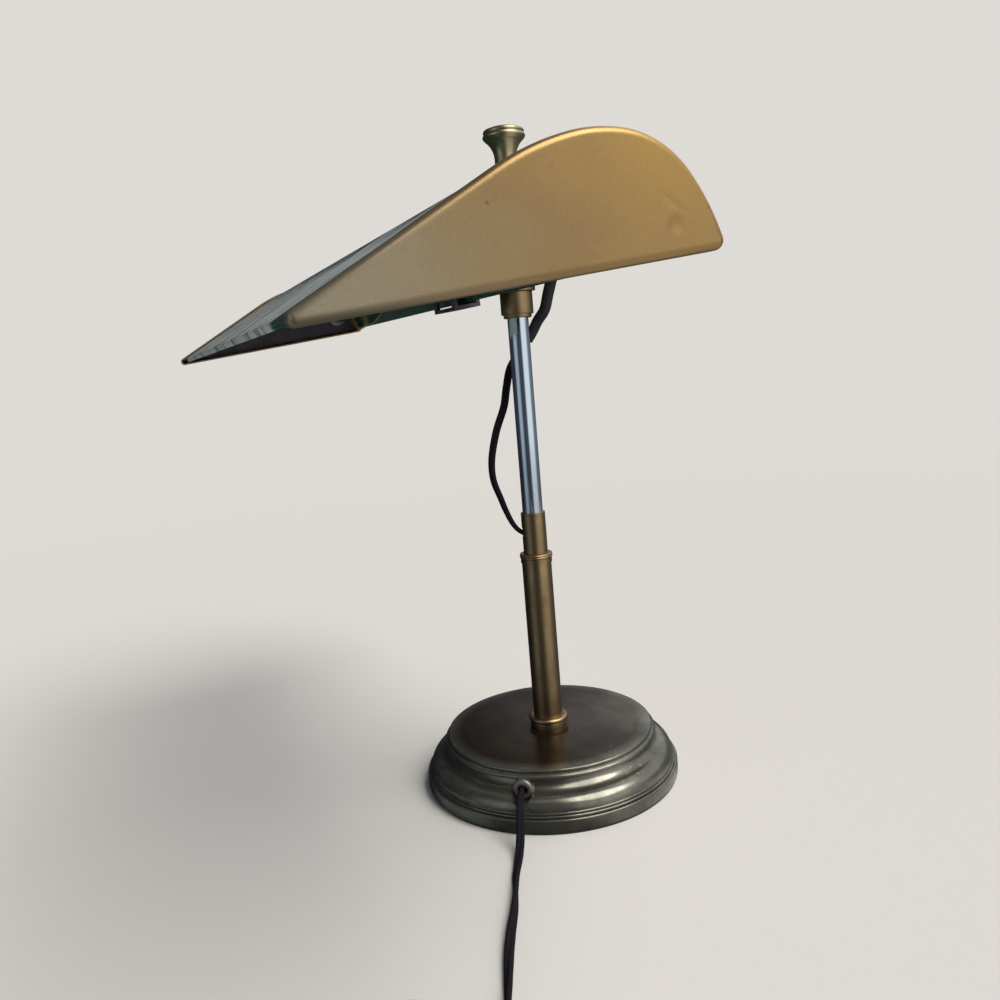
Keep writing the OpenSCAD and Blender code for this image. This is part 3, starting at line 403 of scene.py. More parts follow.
seen = add(tree, "LightPath").outputs["Is Camera Ray"]
view = add(tree, "Mix", BLEND, _0=seen, _6=room, _7=linear(PALE)).outputs[2]
tree.links.new(view, tree.nodes["Background"].inputs["Color"])
bpy.context.scene.view_settings.view_transform = "Standard"
print("sun:", sun_data.energy, "W/m2, wall colours:", len(WALLS))

# %% [markdown]
# ## Bronze patina
# The base is spun bronze with a dark chemical patina. The flat of the disc has stayed brown, and
# the mouldings round it have gone grey-green, so the distance from the stem's axis mixes two
# ramps. Clouds of noise give the patches and change the gloss with the colour. A few pale chips
# sit on one side, just under the disc: cells of a Voronoi pattern, kept to one spot.

# %% Bronze patina finish
# Patinated bronze: a dark metal with a waxed gloss, brown on top and grey-green on its mouldings
patina, tree, shader, place = finish("dark_bronze_patina", Metallic=0.8)
clouds = add(tree, "TexNoise", Vector=place, Scale=per_mm(34), Detail=5.0,
             Roughness=0.6).outputs["Fac"]
grain = add(tree, "TexNoise", Vector=place, Scale=per_mm(1.6), Detail=3.0).outputs["Fac"]
brown = add(tree, "ValToRGB", stops=[(0.3, linear("#2b211a")), (0.5, linear("#3b2f22")),
                                     (0.7, linear("#4d412f"))], Fac=clouds).outputs[0]
green = add(tree, "ValToRGB", stops=[(0.3, linear("#55534c")), (0.5, linear("#706f66")),
                                     (0.7, linear("#8d8c80"))], Fac=clouds).outputs[0]
flat = add(tree, "VectorMath", {"operation": "MULTIPLY"}, _0=place, _1=(1, 1, 0)).outputs[0]
from_axis = add(tree, "VectorMath", {"operation": "LENGTH"}, _0=flat).outputs["Value"]
moulding = add(tree, "MapRange", Value=from_axis, From_Min=58 * MM, From_Max=67 * MM).outputs[0]
tone = add(tree, "Mix", BLEND, _0=moulding, _6=brown, _7=green).outputs[2]
CHIPS_AT = (65 * MM, 18 * MM, 23 * MM)
cells = add(tree, "TexVoronoi", Vector=place, Scale=per_mm(5)).outputs["Distance"]
chip = add(tree, "MapRange", Value=cells, From_Min=0.17, From_Max=0.1).outputs["Result"]
spot = add(tree, "VectorMath", {"operation": "DISTANCE"}, _0=place, _1=CHIPS_AT).outputs["Value"]
spot = add(tree, "MapRange", Value=spot, From_Min=18 * MM, From_Max=13 * MM).outputs["Result"]
chip = add(tree, "Math", {"operation": "MULTIPLY"}, _0=chip, _1=spot).outputs[0]
tone = add(tree, "Mix", BLEND, _0=chip, _6=tone, _7=linear("#a09f90")).outputs[2]
tree.links.new(tone, shader.inputs["Base Color"])
gloss = add(tree, "MapRange", Value=clouds, From_Min=0.3, From_Max=0.7, To_Min=0.32, To_Max=0.2)
tree.links.new(gloss.outputs[0], shader.inputs["Roughness"])
tooth = add(tree, "Bump", Height=grain, Strength=0.1, Distance=0.2 * MM)
tree.links.new(tooth.outputs[0], shader.inputs["Normal"])
print("finish:", patina.name)

# %% [markdown]
# ## Aged brass
# Tubes, rings and knob are turned brass that has gone brown with age. Above the head collar the
# colour turns paler and more olive up to the knob: a greyer tone of the knob's own with a painted
# highlight on it. Turning leaves fine rings round the axis, so the noise is
# squeezed along Z. Tarnish clouds change colour and gloss together: the browner, the duller.

# %% Aged brass finish
# Tarnished brass: brown over yellow metal, satin, paler and more olive on the knob with a painted
# highlight
old_brass, tree, shader, place = finish("tarnished_brass", Metallic=1.0)
clouds = add(tree, "TexNoise", Vector=place, Scale=per_mm(16), Detail=4.0,
             Roughness=0.5).outputs["Fac"]
squeezed = add(tree, "Mapping", Vector=place, Scale=(1.0, 1.0, 12.0)).outputs[0]
turning = add(tree, "TexNoise", Vector=squeezed, Scale=per_mm(7), Detail=2.0).outputs["Fac"]
brown = add(tree, "ValToRGB", stops=[(0.3, linear("#877458")), (0.7, linear("#ab946d"))],
            Fac=clouds).outputs[0]
olive = add(tree, "ValToRGB", stops=[(0.3, linear("#978c70")), (0.7, linear("#bbae89"))],
            Fac=clouds).outputs[0]
z = add(tree, "SeparateXYZ", Vector=place).outputs["Z"]
# Painted highlight, with a greyer tone of the knob's own: paler and more olive from the head up
knob_olive_and_highlight = add(tree, "MapRange", Value=z, From_Min=320 * MM, From_Max=376 * MM).outputs["Result"]
tone = add(tree, "Mix", BLEND, _0=knob_olive_and_highlight, _6=brown, _7=olive).outputs[2]
tree.links.new(tone, shader.inputs["Base Color"])
gloss = add(tree, "MapRange", Value=clouds, From_Min=0.3, From_Max=0.7, To_Min=0.42, To_Max=0.3)
tree.links.new(gloss.outputs[0], shader.inputs["Roughness"])
rings = add(tree, "Bump", Height=turning, Strength=0.1, Distance=0.1 * MM)
tree.links.new(rings.outputs[0], shader.inputs["Normal"])
print("finish:", old_brass.name)

# %% [markdown]
# ## Bright nickel
# The middle tube is polished and plated, and the sleeve has scratched it low down, where it
# slides. The scratches are noise drawn out along Z, and a ramp over the height keeps them near
# the bottom.

# %% Bright nickel finish
# Nickel plate: a slightly cool mirror, with a dull scuffed foot
nickel, tree, shader, place = finish("bright_nickel_plate", Metallic=1.0)
shader.inputs["Base Color"].default_value = linear("#c6d5df")
z = add(tree, "SeparateXYZ", Vector=place).outputs["Z"]
low = add(tree, "MapRange", Value=z, From_Min=205 * MM, From_Max=176 * MM).outputs["Result"]
drawn_out = add(tree, "Mapping", Vector=place, Scale=(1.0, 1.0, 0.06)).outputs[0]
scratch = add(tree, "TexNoise", Vector=drawn_out, Scale=per_mm(0.8), Detail=4.0).outputs["Fac"]
scratch = add(tree, "MapRange", Value=scratch, From_Min=0.45, From_Max=0.7).outputs["Result"]
scuffs = add(tree, "Math", {"operation": "MULTIPLY"}, _0=scratch, _1=low).outputs[0]
gloss = add(tree, "MapRange", Value=scuffs, To_Min=0.07, To_Max=0.5)
tree.links.new(gloss.outputs[0], shader.inputs["Roughness"])
dents = add(tree, "Bump", Height=scuffs, Strength=0.25, Distance=0.05 * MM)
tree.links.new(dents.outputs[0], shader.inputs["Normal"])
print("finish:", nickel.name)

# %% [markdown]
# ## Bronze lacquer
# The end plates are pressed from thin sheet and coated in a satin bronze lacquer. Their colour is
# greyer towards the front and below and paler and warmer at the back and top, which is painted
# light from behind and above, and the coat is faintly mottled. One
# end has an old dent with a crease above it. Dent and crease are soft hollows in the bump, found
# by the distance from their middle, the crease in a stretched and turned space.

# %% Bronze lacquer finish
# Lacquered sheet: a broad soft gloss over golden brown, with painted light that greys the front and
# lower parts
lacquer, tree, shader, place = finish("satin_bronze_lacquer", Metallic=0.7, Coat_Weight=0.1,
                                      Coat_Roughness=0.25)
axes = add(tree, "SeparateXYZ", Vector=place)
mottle = add(tree, "TexNoise", Vector=place, Scale=per_mm(22), Detail=4.0).outputs["Fac"]
flakes = add(tree, "TexNoise", Vector=place, Scale=per_mm(0.9), Detail=2.0).outputs["Fac"]
# Painted light: the colour turns paler and warmer towards the back (Y) and the top (Z), greyer at
# the front and below
painted_light_and_mottle = add(tree, "MapRange", Value=axes.outputs["Y"], From_Min=-175 * MM, From_Max=-60 * MM,
           To_Max=0.5)
high = add(tree, "MapRange", Value=axes.outputs["Z"], From_Min=310 * MM, From_Max=375 * MM,
           To_Max=0.45)
painted_light_and_mottle = add(tree, "Math", {"operation": "ADD"}, _0=painted_light_and_mottle.outputs[0], _1=high.outputs[0]).outputs[0]
painted_light_and_mottle = add(tree, "Math", {"operation": "MULTIPLY_ADD"}, _0=mottle, _1=0.2, _2=painted_light_and_mottle).outputs[0]
tone = add(tree, "ValToRGB", stops=[(0.1, linear("#948a73")), (0.45, linear("#957a50")),
                                    (1.0, linear("#c0994f"))], Fac=painted_light_and_mottle).outputs[0]
speckle = add(tree, "ValToRGB", stops=[(0.3, grey(0.9)), (0.7, grey(1.0))], Fac=flakes).outputs[0]
tone = add(tree, "Mix", MULTIPLY, _0=1.0, _6=tone, _7=speckle).outputs[2]
END_X = 253.5 * MM
for speck in ((END_X, -121.3 * MM, 320.7 * MM), (END_X, -41.9 * MM, 318.7 * MM)):
    gap = add(tree, "VectorMath", {"operation": "DISTANCE"}, _0=place, _1=speck).outputs["Value"]
    spot = add(tree, "MapRange", Value=gap, From_Min=0.9 * MM, From_Max=0.3 * MM,
               To_Max=0.5).outputs["Result"]
    tone = add(tree, "Mix", BLEND, _0=spot, _6=tone, _7=linear("#4d3d2c")).outputs[2]
tree.links.new(tone, shader.inputs["Base Color"])
gloss = add(tree, "MapRange", Value=mottle, From_Min=0.3, From_Max=0.7, To_Min=0.3, To_Max=0.38)
tree.links.new(gloss.outputs[0], shader.inputs["Roughness"])

# %% Dent and crease in the lacquered sheet
DENT, CREASE = (END_X, -55.2 * MM, 313.2 * MM), (END_X, -56 * MM, 320 * MM)
gap = add(tree, "VectorMath", {"operation": "DISTANCE"}, _0=place, _1=DENT).outputs["Value"]
dent = add(tree, "MapRange", {"interpolation_type": "SMOOTHSTEP"}, Value=gap, From_Min=4.5 * MM,
           From_Max=0.0)
along_crease = add(tree, "Mapping", {"vector_type": "TEXTURE"}, Vector=place, Location=CREASE,
                   Rotation=(math.radians(-31.5), 0, 0), Scale=(1.0, 9.0, 2.6))
gap = add(tree, "VectorMath", {"operation": "LENGTH"}, _0=along_crease.outputs[0]).outputs["Value"]
crease = add(tree, "MapRange", {"interpolation_type": "SMOOTHSTEP"}, Value=gap, From_Min=1 * MM,
             From_Max=0.0)
hollow = add(tree, "Math", {"operation": "MULTIPLY_ADD"}, _0=crease.outputs[0], _1=0.5,
             _2=dent.outputs[0]).outputs[0]
hollow = add(tree, "Math", {"operation": "MULTIPLY_ADD"}, _0=flakes, _1=0.015, _2=hollow).outputs[0]
pressed = add(tree, "Bump", {"invert": True}, Height=hollow, Strength=0.8, Distance=0.7 * MM)
tree.links.new(pressed.outputs[0], shader.inputs["Normal"])
print("finish:", lacquer.name)

# %% [markdown]
# ## Green glass
# The shade is one sheet of green glass, bent over a mould. Its outside carries pale, crinkled
# remains of a film, in streaks down the slope that get denser towards the front edge, and a
# clear dark strip is left along both ends. Glass is a smooth surface that lets light through.
# The film is a paler, rougher skin on it that lets less light through, so it changes colour,
# gloss, clearness and bump.

# %% Green glass finish
# Soda glass, tinted: mirror gloss outside, deep green in its thickness, milky where the film sits
glass, tree, shader, place = finish("green_glass", IOR=1.52)
axes = add(tree, "SeparateXYZ", Vector=place)
from_middle = add(tree, "Math", {"operation": "ABSOLUTE"}, _0=axes.outputs["X"]).outputs[0]
down_slope = add(tree, "Mapping", Vector=place, Scale=(1.0, 0.3, 0.3)).outputs[0]
streaks = add(tree, "TexNoise", Vector=down_slope, Scale=per_mm(24), Detail=8.0, Roughness=0.68,
              Distortion=1.2).outputs["Fac"]
wander = add(tree, "TexNoise", Vector=place, Scale=per_mm(30), Detail=3.0).outputs["Fac"]
edge = add(tree, "Math", {"operation": "MULTIPLY_ADD"}, _0=wander, _1=30 * MM,
           _2=from_middle).outputs[0]
covered = add(tree, "MapRange", Value=edge, From_Min=228 * MM, From_Max=220 * MM,
              To_Max=0.7).outputs["Result"]
front = add(tree, "MapRange", Value=axes.outputs["Y"], From_Min=-80 * MM, From_Max=-140 * MM,
            To_Min=-0.25, To_Max=0.14).outputs["Result"]
film = add(tree, "Math", {"operation": "ADD"}, _0=streaks, _1=front).outputs[0]
film = add(tree, "MapRange", Value=film, From_Min=0.47, From_Max=0.62).outputs["Result"]
film = add(tree, "Math", {"operation": "MULTIPLY"}, _0=film, _1=covered).outputs[0]
tone = add(tree, "Mix", BLEND, _0=film, _6=linear("#2f6247"), _7=linear("#f1f6f7")).outputs[2]
tree.links.new(tone, shader.inputs["Base Color"])
gloss = add(tree, "MapRange", Value=film, To_Min=0.04, To_Max=0.55)
tree.links.new(gloss.outputs[0], shader.inputs["Roughness"])
clear = add(tree, "MapRange", Value=film, To_Min=0.6, To_Max=0.3)
tree.links.new(clear.outputs[0], shader.inputs["Transmission Weight"])
wrinkles = add(tree, "Math", {"operation": "MULTIPLY"}, _0=streaks, _1=film).outputs[0]
crinkle = add(tree, "Bump", Height=wrinkles, Strength=0.5, Distance=0.6 * MM)
tree.links.new(crinkle.outputs[0], shader.inputs["Normal"])
print("finish:", glass.name)

# %% [markdown]
# ## Opal glass and the plain finishes
# The bulbs are opal glass, white all through, so light sinks in a little before it comes back.
# The small fittings are plain steel, brass, iron, rubber, moulding and felt. Each of these is a
# colour that wavers with a noise of its own grain size, a gloss that wavers with it, and a
# little bump, so one recipe with different amounts serves them all.

# %% Opal glass and the plain finishes
# Opal glass: glossy and milk white, a little soft in its shadows
opal, tree, shader, place = finish("opal_bulb_glass", Roughness=0.12, Subsurface_Weight=0.4,
                                   Subsurface_Scale=2 * MM)
haze = add(tree, "TexNoise", Vector=place, Scale=per_mm(20), Detail=2.0).outputs["Fac"]
white = add(tree, "ValToRGB", stops=[(0.3, linear("#e6e1d6")), (0.7, linear("#f2eee6"))],
            Fac=haze).outputs[0]
tree.links.new(white, shader.inputs["Base Color"])


def plain_finish(name, dark, pale, grain_mm, metallic, rough, bump_mm, **constants):
    material, tree, shader, place = finish(name, Metallic=metallic, **constants)
    grain = add(tree, "TexNoise", Vector=place, Scale=per_mm(grain_mm), Detail=5.0,
                Roughness=0.6).outputs["Fac"]
    tone = add(tree, "ValToRGB", stops=[(0.3, linear(dark)), (0.7, linear(pale))],
               Fac=grain).outputs[0]
    tree.links.new(tone, shader.inputs["Base Color"])
    gloss = add(tree, "MapRange", Value=grain, From_Min=0.3, From_Max=0.7, To_Min=rough[0],
                To_Max=rough[1])
    tree.links.new(gloss.outputs[0], shader.inputs["Roughness"])
    tooth = add(tree, "Bump", Height=grain, Strength=0.3, Distance=bump_mm * MM)
    tree.links.new(tooth.outputs[0], shader.inputs["Normal"])
    return material


PLAIN = {
    # Cast iron: grey and grainy, with no shine
    "iron": plain_finish("cast_iron", "#3a3836", "#55524e", 2.0, 0.8, (0.7, 0.55), 0.3),
    # Mild steel, zinc plated: pale grey with a soft gloss
    "steel": plain_finish("zinc_plated_steel", "#8b8e91", "#a4a7aa", 6.0, 1.0, (0.34, 0.26), 0.02),
    # Wool felt: green, matt, with fibres that catch light at the edge
    "felt": plain_finish("green_wool_felt", "#131f18", "#1f2e25", 0.8, 0.0, (1.0, 0.9), 0.4,
                         Sheen_Weight=0.4),
    # Turned brass: yellow, clean, with a soft gloss
    "brass_fittings": plain_finish("turned_brass", "#9a7c3e", "#b39452", 5.0, 1.0, (0.32, 0.22),
                                   0.02),
    # Pewter-grey die casting: dull grey metal, worn smooth
    "pewter": plain_finish("grey_die_casting", "#746d69", "#99928d", 3.0, 0.7, (0.5, 0.36), 0.05),
    # Natural rubber, carbon black: dull and dark
    "rubber": plain_finish("black_rubber", "#151416", "#201f22", 1.5, 0.0, (0.75, 0.6), 0.05),
    # Painted shade for the inside of the end plates and the bracket: a dark violet grey, matt
    "painted_shade": plain_finish("dark_painted_shade", "#37333a", "#454047", 8.0, 0.2, (0.6, 0.5), 0.05),
    # Phenolic moulding: near black, glossy, faintly brown
    "black_plastic": plain_finish("phenolic_moulding", "#171311", "#221c19", 9.0, 0.0, (0.3, 0.22),
                                  0.02),
}
print("plain finishes:", len(PLAIN))

# %% [markdown]
# ## Dress the CAD nodes
# A node whose solid already has the right shape only needs its finish. The record says which
# slot each node belongs to, so one table from slot to finish dresses them all. The bracket that
# carries the shade gets painted shade instead: the same dark violet grey as the insides of the
# plates.

# %% Finishes on the CAD nodes
FINISH = {"bronze_patina": patina, "aged_brass": old_brass, "nickel": nickel,
          "bronze_lacquer": lacquer, "green_glass": glass, "opal_glass": opal,
          "cloth_flex": flex, **PLAIN}
for subpart in frame["record"]["subparts"]:
    node = frame["nodes"][subpart["node"]]
    if not node.material_slots:
        node.data.materials.append(None)
    for slot in node.material_slots:
        slot.material = FINISH[subpart["material_slot"]]
# Painted shade: the bracket that carries the lamp's shade is given the dark violet grey, not its
# patina
for slot in frame["nodes"]["shade_bracket"].material_slots:
    slot.material = PLAIN["painted_shade"]

# %% [markdown]
# ## Turned pieces
# Base, collars, knob and bushing are turned: their shape is one outline, spun round an axis. The
# outline is drawn by pulling one vertex from point to point, and Spin sweeps it round. The first
# and the last copy meet, so doubles are merged, and then the normals are made to face out.

# %% Helpers for outlines and spinning
def arc(middle, radius, first, last, steps=8):
    """Points on an arc, with angles in degrees."""
    angles = [math.radians(first + (last - first) * i / steps) for i in range(steps + 1)]
    return [(middle[0] + radius * math.cos(a), middle[1] + radius * math.sin(a)) for a in angles]


SAME_MM = 0.001


def draw(name, points, closed=True):
    """Pulls one vertex along the points, and leaves the new piece in edit mode, all selected."""
    bpy.ops.object.select_all(action="DESELECT")
    bpy.ops.mesh.primitive_plane_add(size=MM)
    piece = bpy.context.object
    piece.name = name
    bpy.ops.object.mode_set(mode="EDIT")
    bpy.ops.mesh.select_mode(type="VERT")
    bpy.ops.mesh.merge(type="CENTER")
    bpy.ops.transform.translate(value=points[0])
    for a, b in zip(points, points[1:]):
        bpy.ops.mesh.extrude_vertices_move(TRANSFORM_OT_translate={"value": b - a})
    bpy.ops.mesh.select_all(action="SELECT")
    if closed:
        bpy.ops.mesh.select_all(action="DESELECT")
        bpy.ops.object.mode_set(mode="OBJECT")
        for vertex in piece.data.vertices:
            gap = min((vertex.co - points[0]).length, (vertex.co - points[-1]).length)
            vertex.select = gap < SAME_MM * MM
        bpy.ops.object.mode_set(mode="EDIT")
        bpy.ops.mesh.edge_face_add()
        bpy.ops.mesh.select_all(action="SELECT")
    return piece


def dress(piece, node, material, body, angle=35):
    """Smooths a finished piece, gives it its finish, and puts it in the place of its CAD node."""
    bpy.ops.object.mode_set(mode="OBJECT")
    bpy.ops.object.shade_smooth_by_angle(angle=math.radians(angle))
    if material:
        piece.data.materials.append(material)
    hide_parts(node)
    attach(piece, body)
    print(piece.name, "faces:", len(piece.data.polygons))


def spin_round(name, outline, axis=(0, 0, 1), origin=(0, 0, 0), steps=96):
    """Spins an outline of radius and height round an axis."""
    axis = Vector(axis).normalized()
    side = Vector((0, 0, 1)) if abs(axis.z) < 0.5 else Vector((1, 0, 0))
    points = [Vector(origin) + (r * side + h * axis) * MM for r, h in outline]
    piece = draw(name, points)
    bpy.ops.mesh.spin(steps=steps, angle=math.tau, center=origin, axis=axis)
    bpy.ops.mesh.select_all(action="SELECT")
    bpy.ops.mesh.remove_doubles(threshold=2 * SAME_MM * MM)
    bpy.ops.mesh.normals_make_consistent(inside=False)
    return piece


# %% [markdown]
# ## The base
# The base is a spun shell: an upright band, two thin beads, a swelling, a cove, and a disc with
# two beads on its rim. A round recess in the cove takes the bushing of the cord. The recess is
# cut with a Boolean, because it meets the curved cove at a slant that no outline could give.

# %% Base shell
BASE_R, BASE_H, BAND_H, DISC_R, COVE_R, COVE_MIN = 82.5, 33, 9, 69.2, 7.8, 65.2
SHELL_T, FELT_T, NIPPLE_HOLE_R = 1.2, 1.5, 5.05
outline = [(NIPPLE_HOLE_R, BASE_H - SHELL_T), (NIPPLE_HOLE_R, BASE_H), (DISC_R - 6, BASE_H),
           (DISC_R - 5, BASE_H - 0.2)]
outline += arc((DISC_R - 3.2, BASE_H - 1.4), 1.2, 90, -55)
outline += arc((DISC_R - 1.5, 28.5), 1.5, 60, -90)
outline += arc((COVE_MIN + COVE_R, 28), COVE_R, 195, 265, 16)
outline += arc((71.6, 12.2), 8, 80, 1, 16)
outline += arc((79.25, 11.45), 0.85, 80, -60)
outline += arc((80.15, 9.85), 0.85, 70, -80)
outline += arc((BASE_R - 0.9, BAND_H - 0.9), 0.9, 90, 0, 5)
outline += arc((BASE_R - 0.4, FELT_T + 0.4), 0.4, 0, -90, 3)
outline += [(BASE_R - SHELL_T, FELT_T), (BASE_R - SHELL_T, BAND_H), (COVE_MIN - SHELL_T, BAND_H),
            (COVE_MIN - SHELL_T, BASE_H - SHELL_T)]
shell = spin_round("base_shell_spun", outline, steps=128)
bpy.ops.object.mode_set(mode="OBJECT")

# %% Recess for the cord
RECESS_R, RECESS_LEN = 6.35, 30
bpy.ops.object.select_all(action="DESELECT")
recess_middle = (OUTLET_SEAT + RECESS_LEN / 2) * out_way + Vector((0, 0, OUTLET_Z))
bpy.ops.mesh.primitive_cylinder_add(vertices=48, radius=RECESS_R * MM, depth=RECESS_LEN * MM,
                                    location=recess_middle * MM,
                                    rotation=(0, math.pi / 2, math.radians(OUTLET_AZ)))
cutter = bpy.context.object
bpy.context.view_layer.objects.active = shell
cut = shell.modifiers.new("recess", "BOOLEAN")
cut.operation, cut.object, cut.solver = "DIFFERENCE", cutter, "EXACT"
bpy.ops.object.modifier_apply(modifier=cut.name)
bpy.data.objects.remove(cutter)
shell.select_set(True)
dress(shell, "base_shell", patina, "base")

# %% [markdown]
# ## Bushing, collars, ring and knob
# The bushing is a ring with a rounded face that keeps the cord off the sharp edge of the shell.
# Its axis is the way out of the base. The foot collar hides the joint of tube and disc, the ring
# closes the top of the outer tube round the sleeve, and the head collar is the socket on top of
# the plated tube. The knob that clamps the head is a neck that flares into a double-beaded rim.

# %% Bushing
FLEX_HOLE_R, SPIGOT_R, FLANGE_R, SPIGOT_FROM, FLANGE_T = 2.8, 4.5, 6.3, 61, 5.5
face = OUTLET_SEAT + FLANGE_T
outline = [(FLEX_HOLE_R, SPIGOT_FROM), (SPIGOT_R, SPIGOT_FROM), (SPIGOT_R, OUTLET_SEAT),
           (FLANGE_R, OUTLET_SEAT)]
outline += arc((4.3, face - 2), 2, 0, 90) + arc((3.6, face - 0.8), 0.8, 90, 180, 4)
bushing = spin_round("outlet_bushing_ring", outline, axis=out_way,
                     origin=Vector((0, 0, OUTLET_Z)) * MM, steps=48)
dress(bushing, "outlet_bushing", PLAIN["pewter"], "base")

# %% Collars and ring
TUBE_BORE_R = 9.55
outline = [(TUBE_BORE_R, BASE_H), (12, BASE_H)] + arc((11.7, 36.1), 0.3, 0, 60, 3)
outline += arc((11.4, 38), 1.6, -60, 90, 10) + [(TUBE_BORE_R, 39.6)]
collar = spin_round("foot_collar_turned", outline, steps=64)
dress(collar, "foot_collar", old_brass, "base")

outline = [(TUBE_BORE_R, 143), (10, 143), (10, 145.4)] + arc((9.6, 146.9), 0.9, -60, 60)
outline += arc((9.7, 148.2), 0.8, 0, 90, 5)
outline += [(7.81, 149), (7.81, 146.05), (TUBE_BORE_R, 146.05)]
ring = spin_round("tube_ring_turned", outline, steps=64)
dress(ring, "tube_ring", old_brass, "base")

outline = [(6.55, 297)] + arc((7.9, 297.8), 0.8, -90, 0, 4) + [(8.7, 299.2), (9.5, 299.2)]
outline += arc((9.5, 299.7), 0.5, -90, 0, 4) + arc((9.3, 312.3), 0.7, 0, 90, 5)
outline += [(6.05, 313), (6.05, 307.05), (6.55, 307.05)]
head = spin_round("head_collar_turned", outline, steps=64)
dress(head, "head_collar", old_brass, "mast")

# %% Knob
KNOB_LOW, KNOB_TOP, STUD_R, STUD_LEN = 375.3, 408.5, 3.06, 19
FLARE_R, NECK_R, RIM_R, RIM_STEP = 14, 6.5, 12.8, 0.9
flare = math.degrees(math.acos(1 - (RIM_R - RIM_STEP - NECK_R) / FLARE_R))
outline = [(STUD_R, KNOB_LOW)] + arc((NECK_R - 0.4, KNOB_LOW + 0.4), 0.4, -90, 0, 3)
outline += arc((NECK_R + FLARE_R, KNOB_TOP - 18.2), FLARE_R, 180, 180 - flare, 16)
outline += arc((11.3, KNOB_TOP - 5.4), 1.5, -60, 50, 8)
outline += arc((10.8, KNOB_TOP - 2.8), 1.5, -40, 90, 8)
outline += [(8.8, KNOB_TOP - 0.9), (8.2, KNOB_TOP - 0.4), (4, KNOB_TOP - 0.1), (0, KNOB_TOP)]
outline += [(0, KNOB_LOW + STUD_LEN), (STUD_R, KNOB_LOW + STUD_LEN)]
knob = spin_round("clamp_knob_turned", outline, steps=64)
dress(knob, "clamp_knob", old_brass, "knob")

# %% [markdown]
# ## The strain relief
# Where the loop comes up to its lug it runs in a rubber sleeve, which bends with the flex. A
# curve is laid along the last stretch of the loop, gets a round bevel and a radius at each point,
# a little thinner towards its low end, and is converted to a mesh.

# %% Strain relief
RELIEF_LEN, RELIEF_NECK, RELIEF_R, RELIEF_TIP_R = 46, 8, 3.65, 3.3
stretch = [p for i, p in enumerate(loop_line[:-1])
           if path_length(loop_line[i:]) < RELIEF_LEN * MM]
stretch.append((lug_at + RELIEF_NECK * lug_way) * MM)
curve = bpy.data.curves.new("strain_relief_sleeve", "CURVE")
curve.dimensions, curve.use_fill_caps = "3D", True
curve.bevel_depth, curve.bevel_resolution = RELIEF_R * MM, 6
spline = curve.splines.new("POLY")
spline.points.add(len(stretch) - 1)
for i, point in enumerate(spline.points):
    point.co = (*stretch[i], 1)
    point.radius = 1 + (RELIEF_TIP_R / RELIEF_R - 1) * (1 - i / (len(stretch) - 1))
relief = bpy.data.objects.new(curve.name, curve)
bpy.context.scene.collection.objects.link(relief)
bpy.ops.object.select_all(action="DESELECT")
relief.select_set(True)
bpy.context.view_layer.objects.active = relief
bpy.ops.object.convert(target="MESH")
dress(relief, "strain_relief", PLAIN["rubber"], "mast")

# %% [markdown]
# ## The section of the shade
# The shade has one section: a straight front slope, four bends that get tighter over the top and
# then nearly straight down the back, and a flat mouth. End plates and glass follow it at
# different depths, so a function gives the line of bends, moved in or out. The section stands in
# the frame of the tilt hinge, which is turned a little, front down.

# %% Section of the shade
FRONT_ANGLE, BENDS = 24, [(95, 17), (58, 19), (36, 46), (78, 18)]
FRONT_R, REAR_R = 2.7, 3.3
HINGE, TILT = Vector((0, -20, 318)), math.radians(6.6)
HALF_LEN, RIM_W, PAN_T, GLASS_T, SEAT = 253.5, 6, 1.0, 3.0, 0.2
REAR_FACE_Y, MOUTH_Z = -16.2, -11.2
EDGE_R = 0.85 * FRONT_R


def turned_way(angle):
    return Vector((math.cos(math.radians(angle)), math.sin(math.radians(angle))))


def bend_line(grow, start, step=2.0):
    """Points of the four bends from where the slope ends, moved outwards, and where they end."""
    points, at, angle = [], Vector(start), FRONT_ANGLE
    for radius, turn_by in BENDS:
        middle = at + radius * turned_way(angle - 90)
        count = max(3, round(turn_by / step))
        bend = arc(middle, radius + grow, 90 + angle, 90 + angle - turn_by, count)
        points += bend[1 if points else 0:]
        angle -= turn_by
        at = middle + radius * turned_way(90 + angle)
    return points, at


back_angle = FRONT_ANGLE - sum(t for r, t in BENDS)
fall = bend_line(0, (0, 0))[1].y
slope_length = (REAR_R * (1 + turned_way(back_angle).x) - fall) / turned_way(FRONT_ANGLE).y
slope_end = slope_length * turned_way(FRONT_ANGLE)
back_end = bend_line(0, slope_end)[1]
rear_middle = back_end + REAR_R * turned_way(back_angle - 90)
SHIFT = Vector((REAR_FACE_Y - rear_middle.x - REAR_R, MOUTH_Z))


def on_lamp(x, point):
    """A point of the section, at a place along the shade, on the lamp, in metres."""
    y, z = Vector(point) + SHIFT
    across = y * math.cos(TILT) - z * math.sin(TILT)
    up_from_hinge = y * math.sin(TILT) + z * math.cos(TILT)
    return (HINGE + Vector((x, across, up_from_hinge))) * MM


print("slope:", round(slope_length, 1), "mm, depth:", round(rear_middle.x + REAR_R, 1), "mm")

# %% [markdown]
# ## The end plates
# An end plate is a pan pressed from sheet: a flat face, a rolled edge and a narrow rim that
# takes the end of the glass. Its outline is drawn at the edge of the rim and extruded ring by
# ring, each ring moved a little further round the roll, and the last one is filled. A ring just
# inside the roll keeps the face flat under smooth shading. The front corner is tighter than the
# roll, so there the rings end in a very small round. Solidify gives the sheet its thickness and
# its inside a dark painted shade. The other plate is a mirrored copy.

# %% Outline of an end plate
ROLL_R, ROLL_STEPS, TIP_R, FLAT_RING = 3.0, 8, 0.3, 0.15


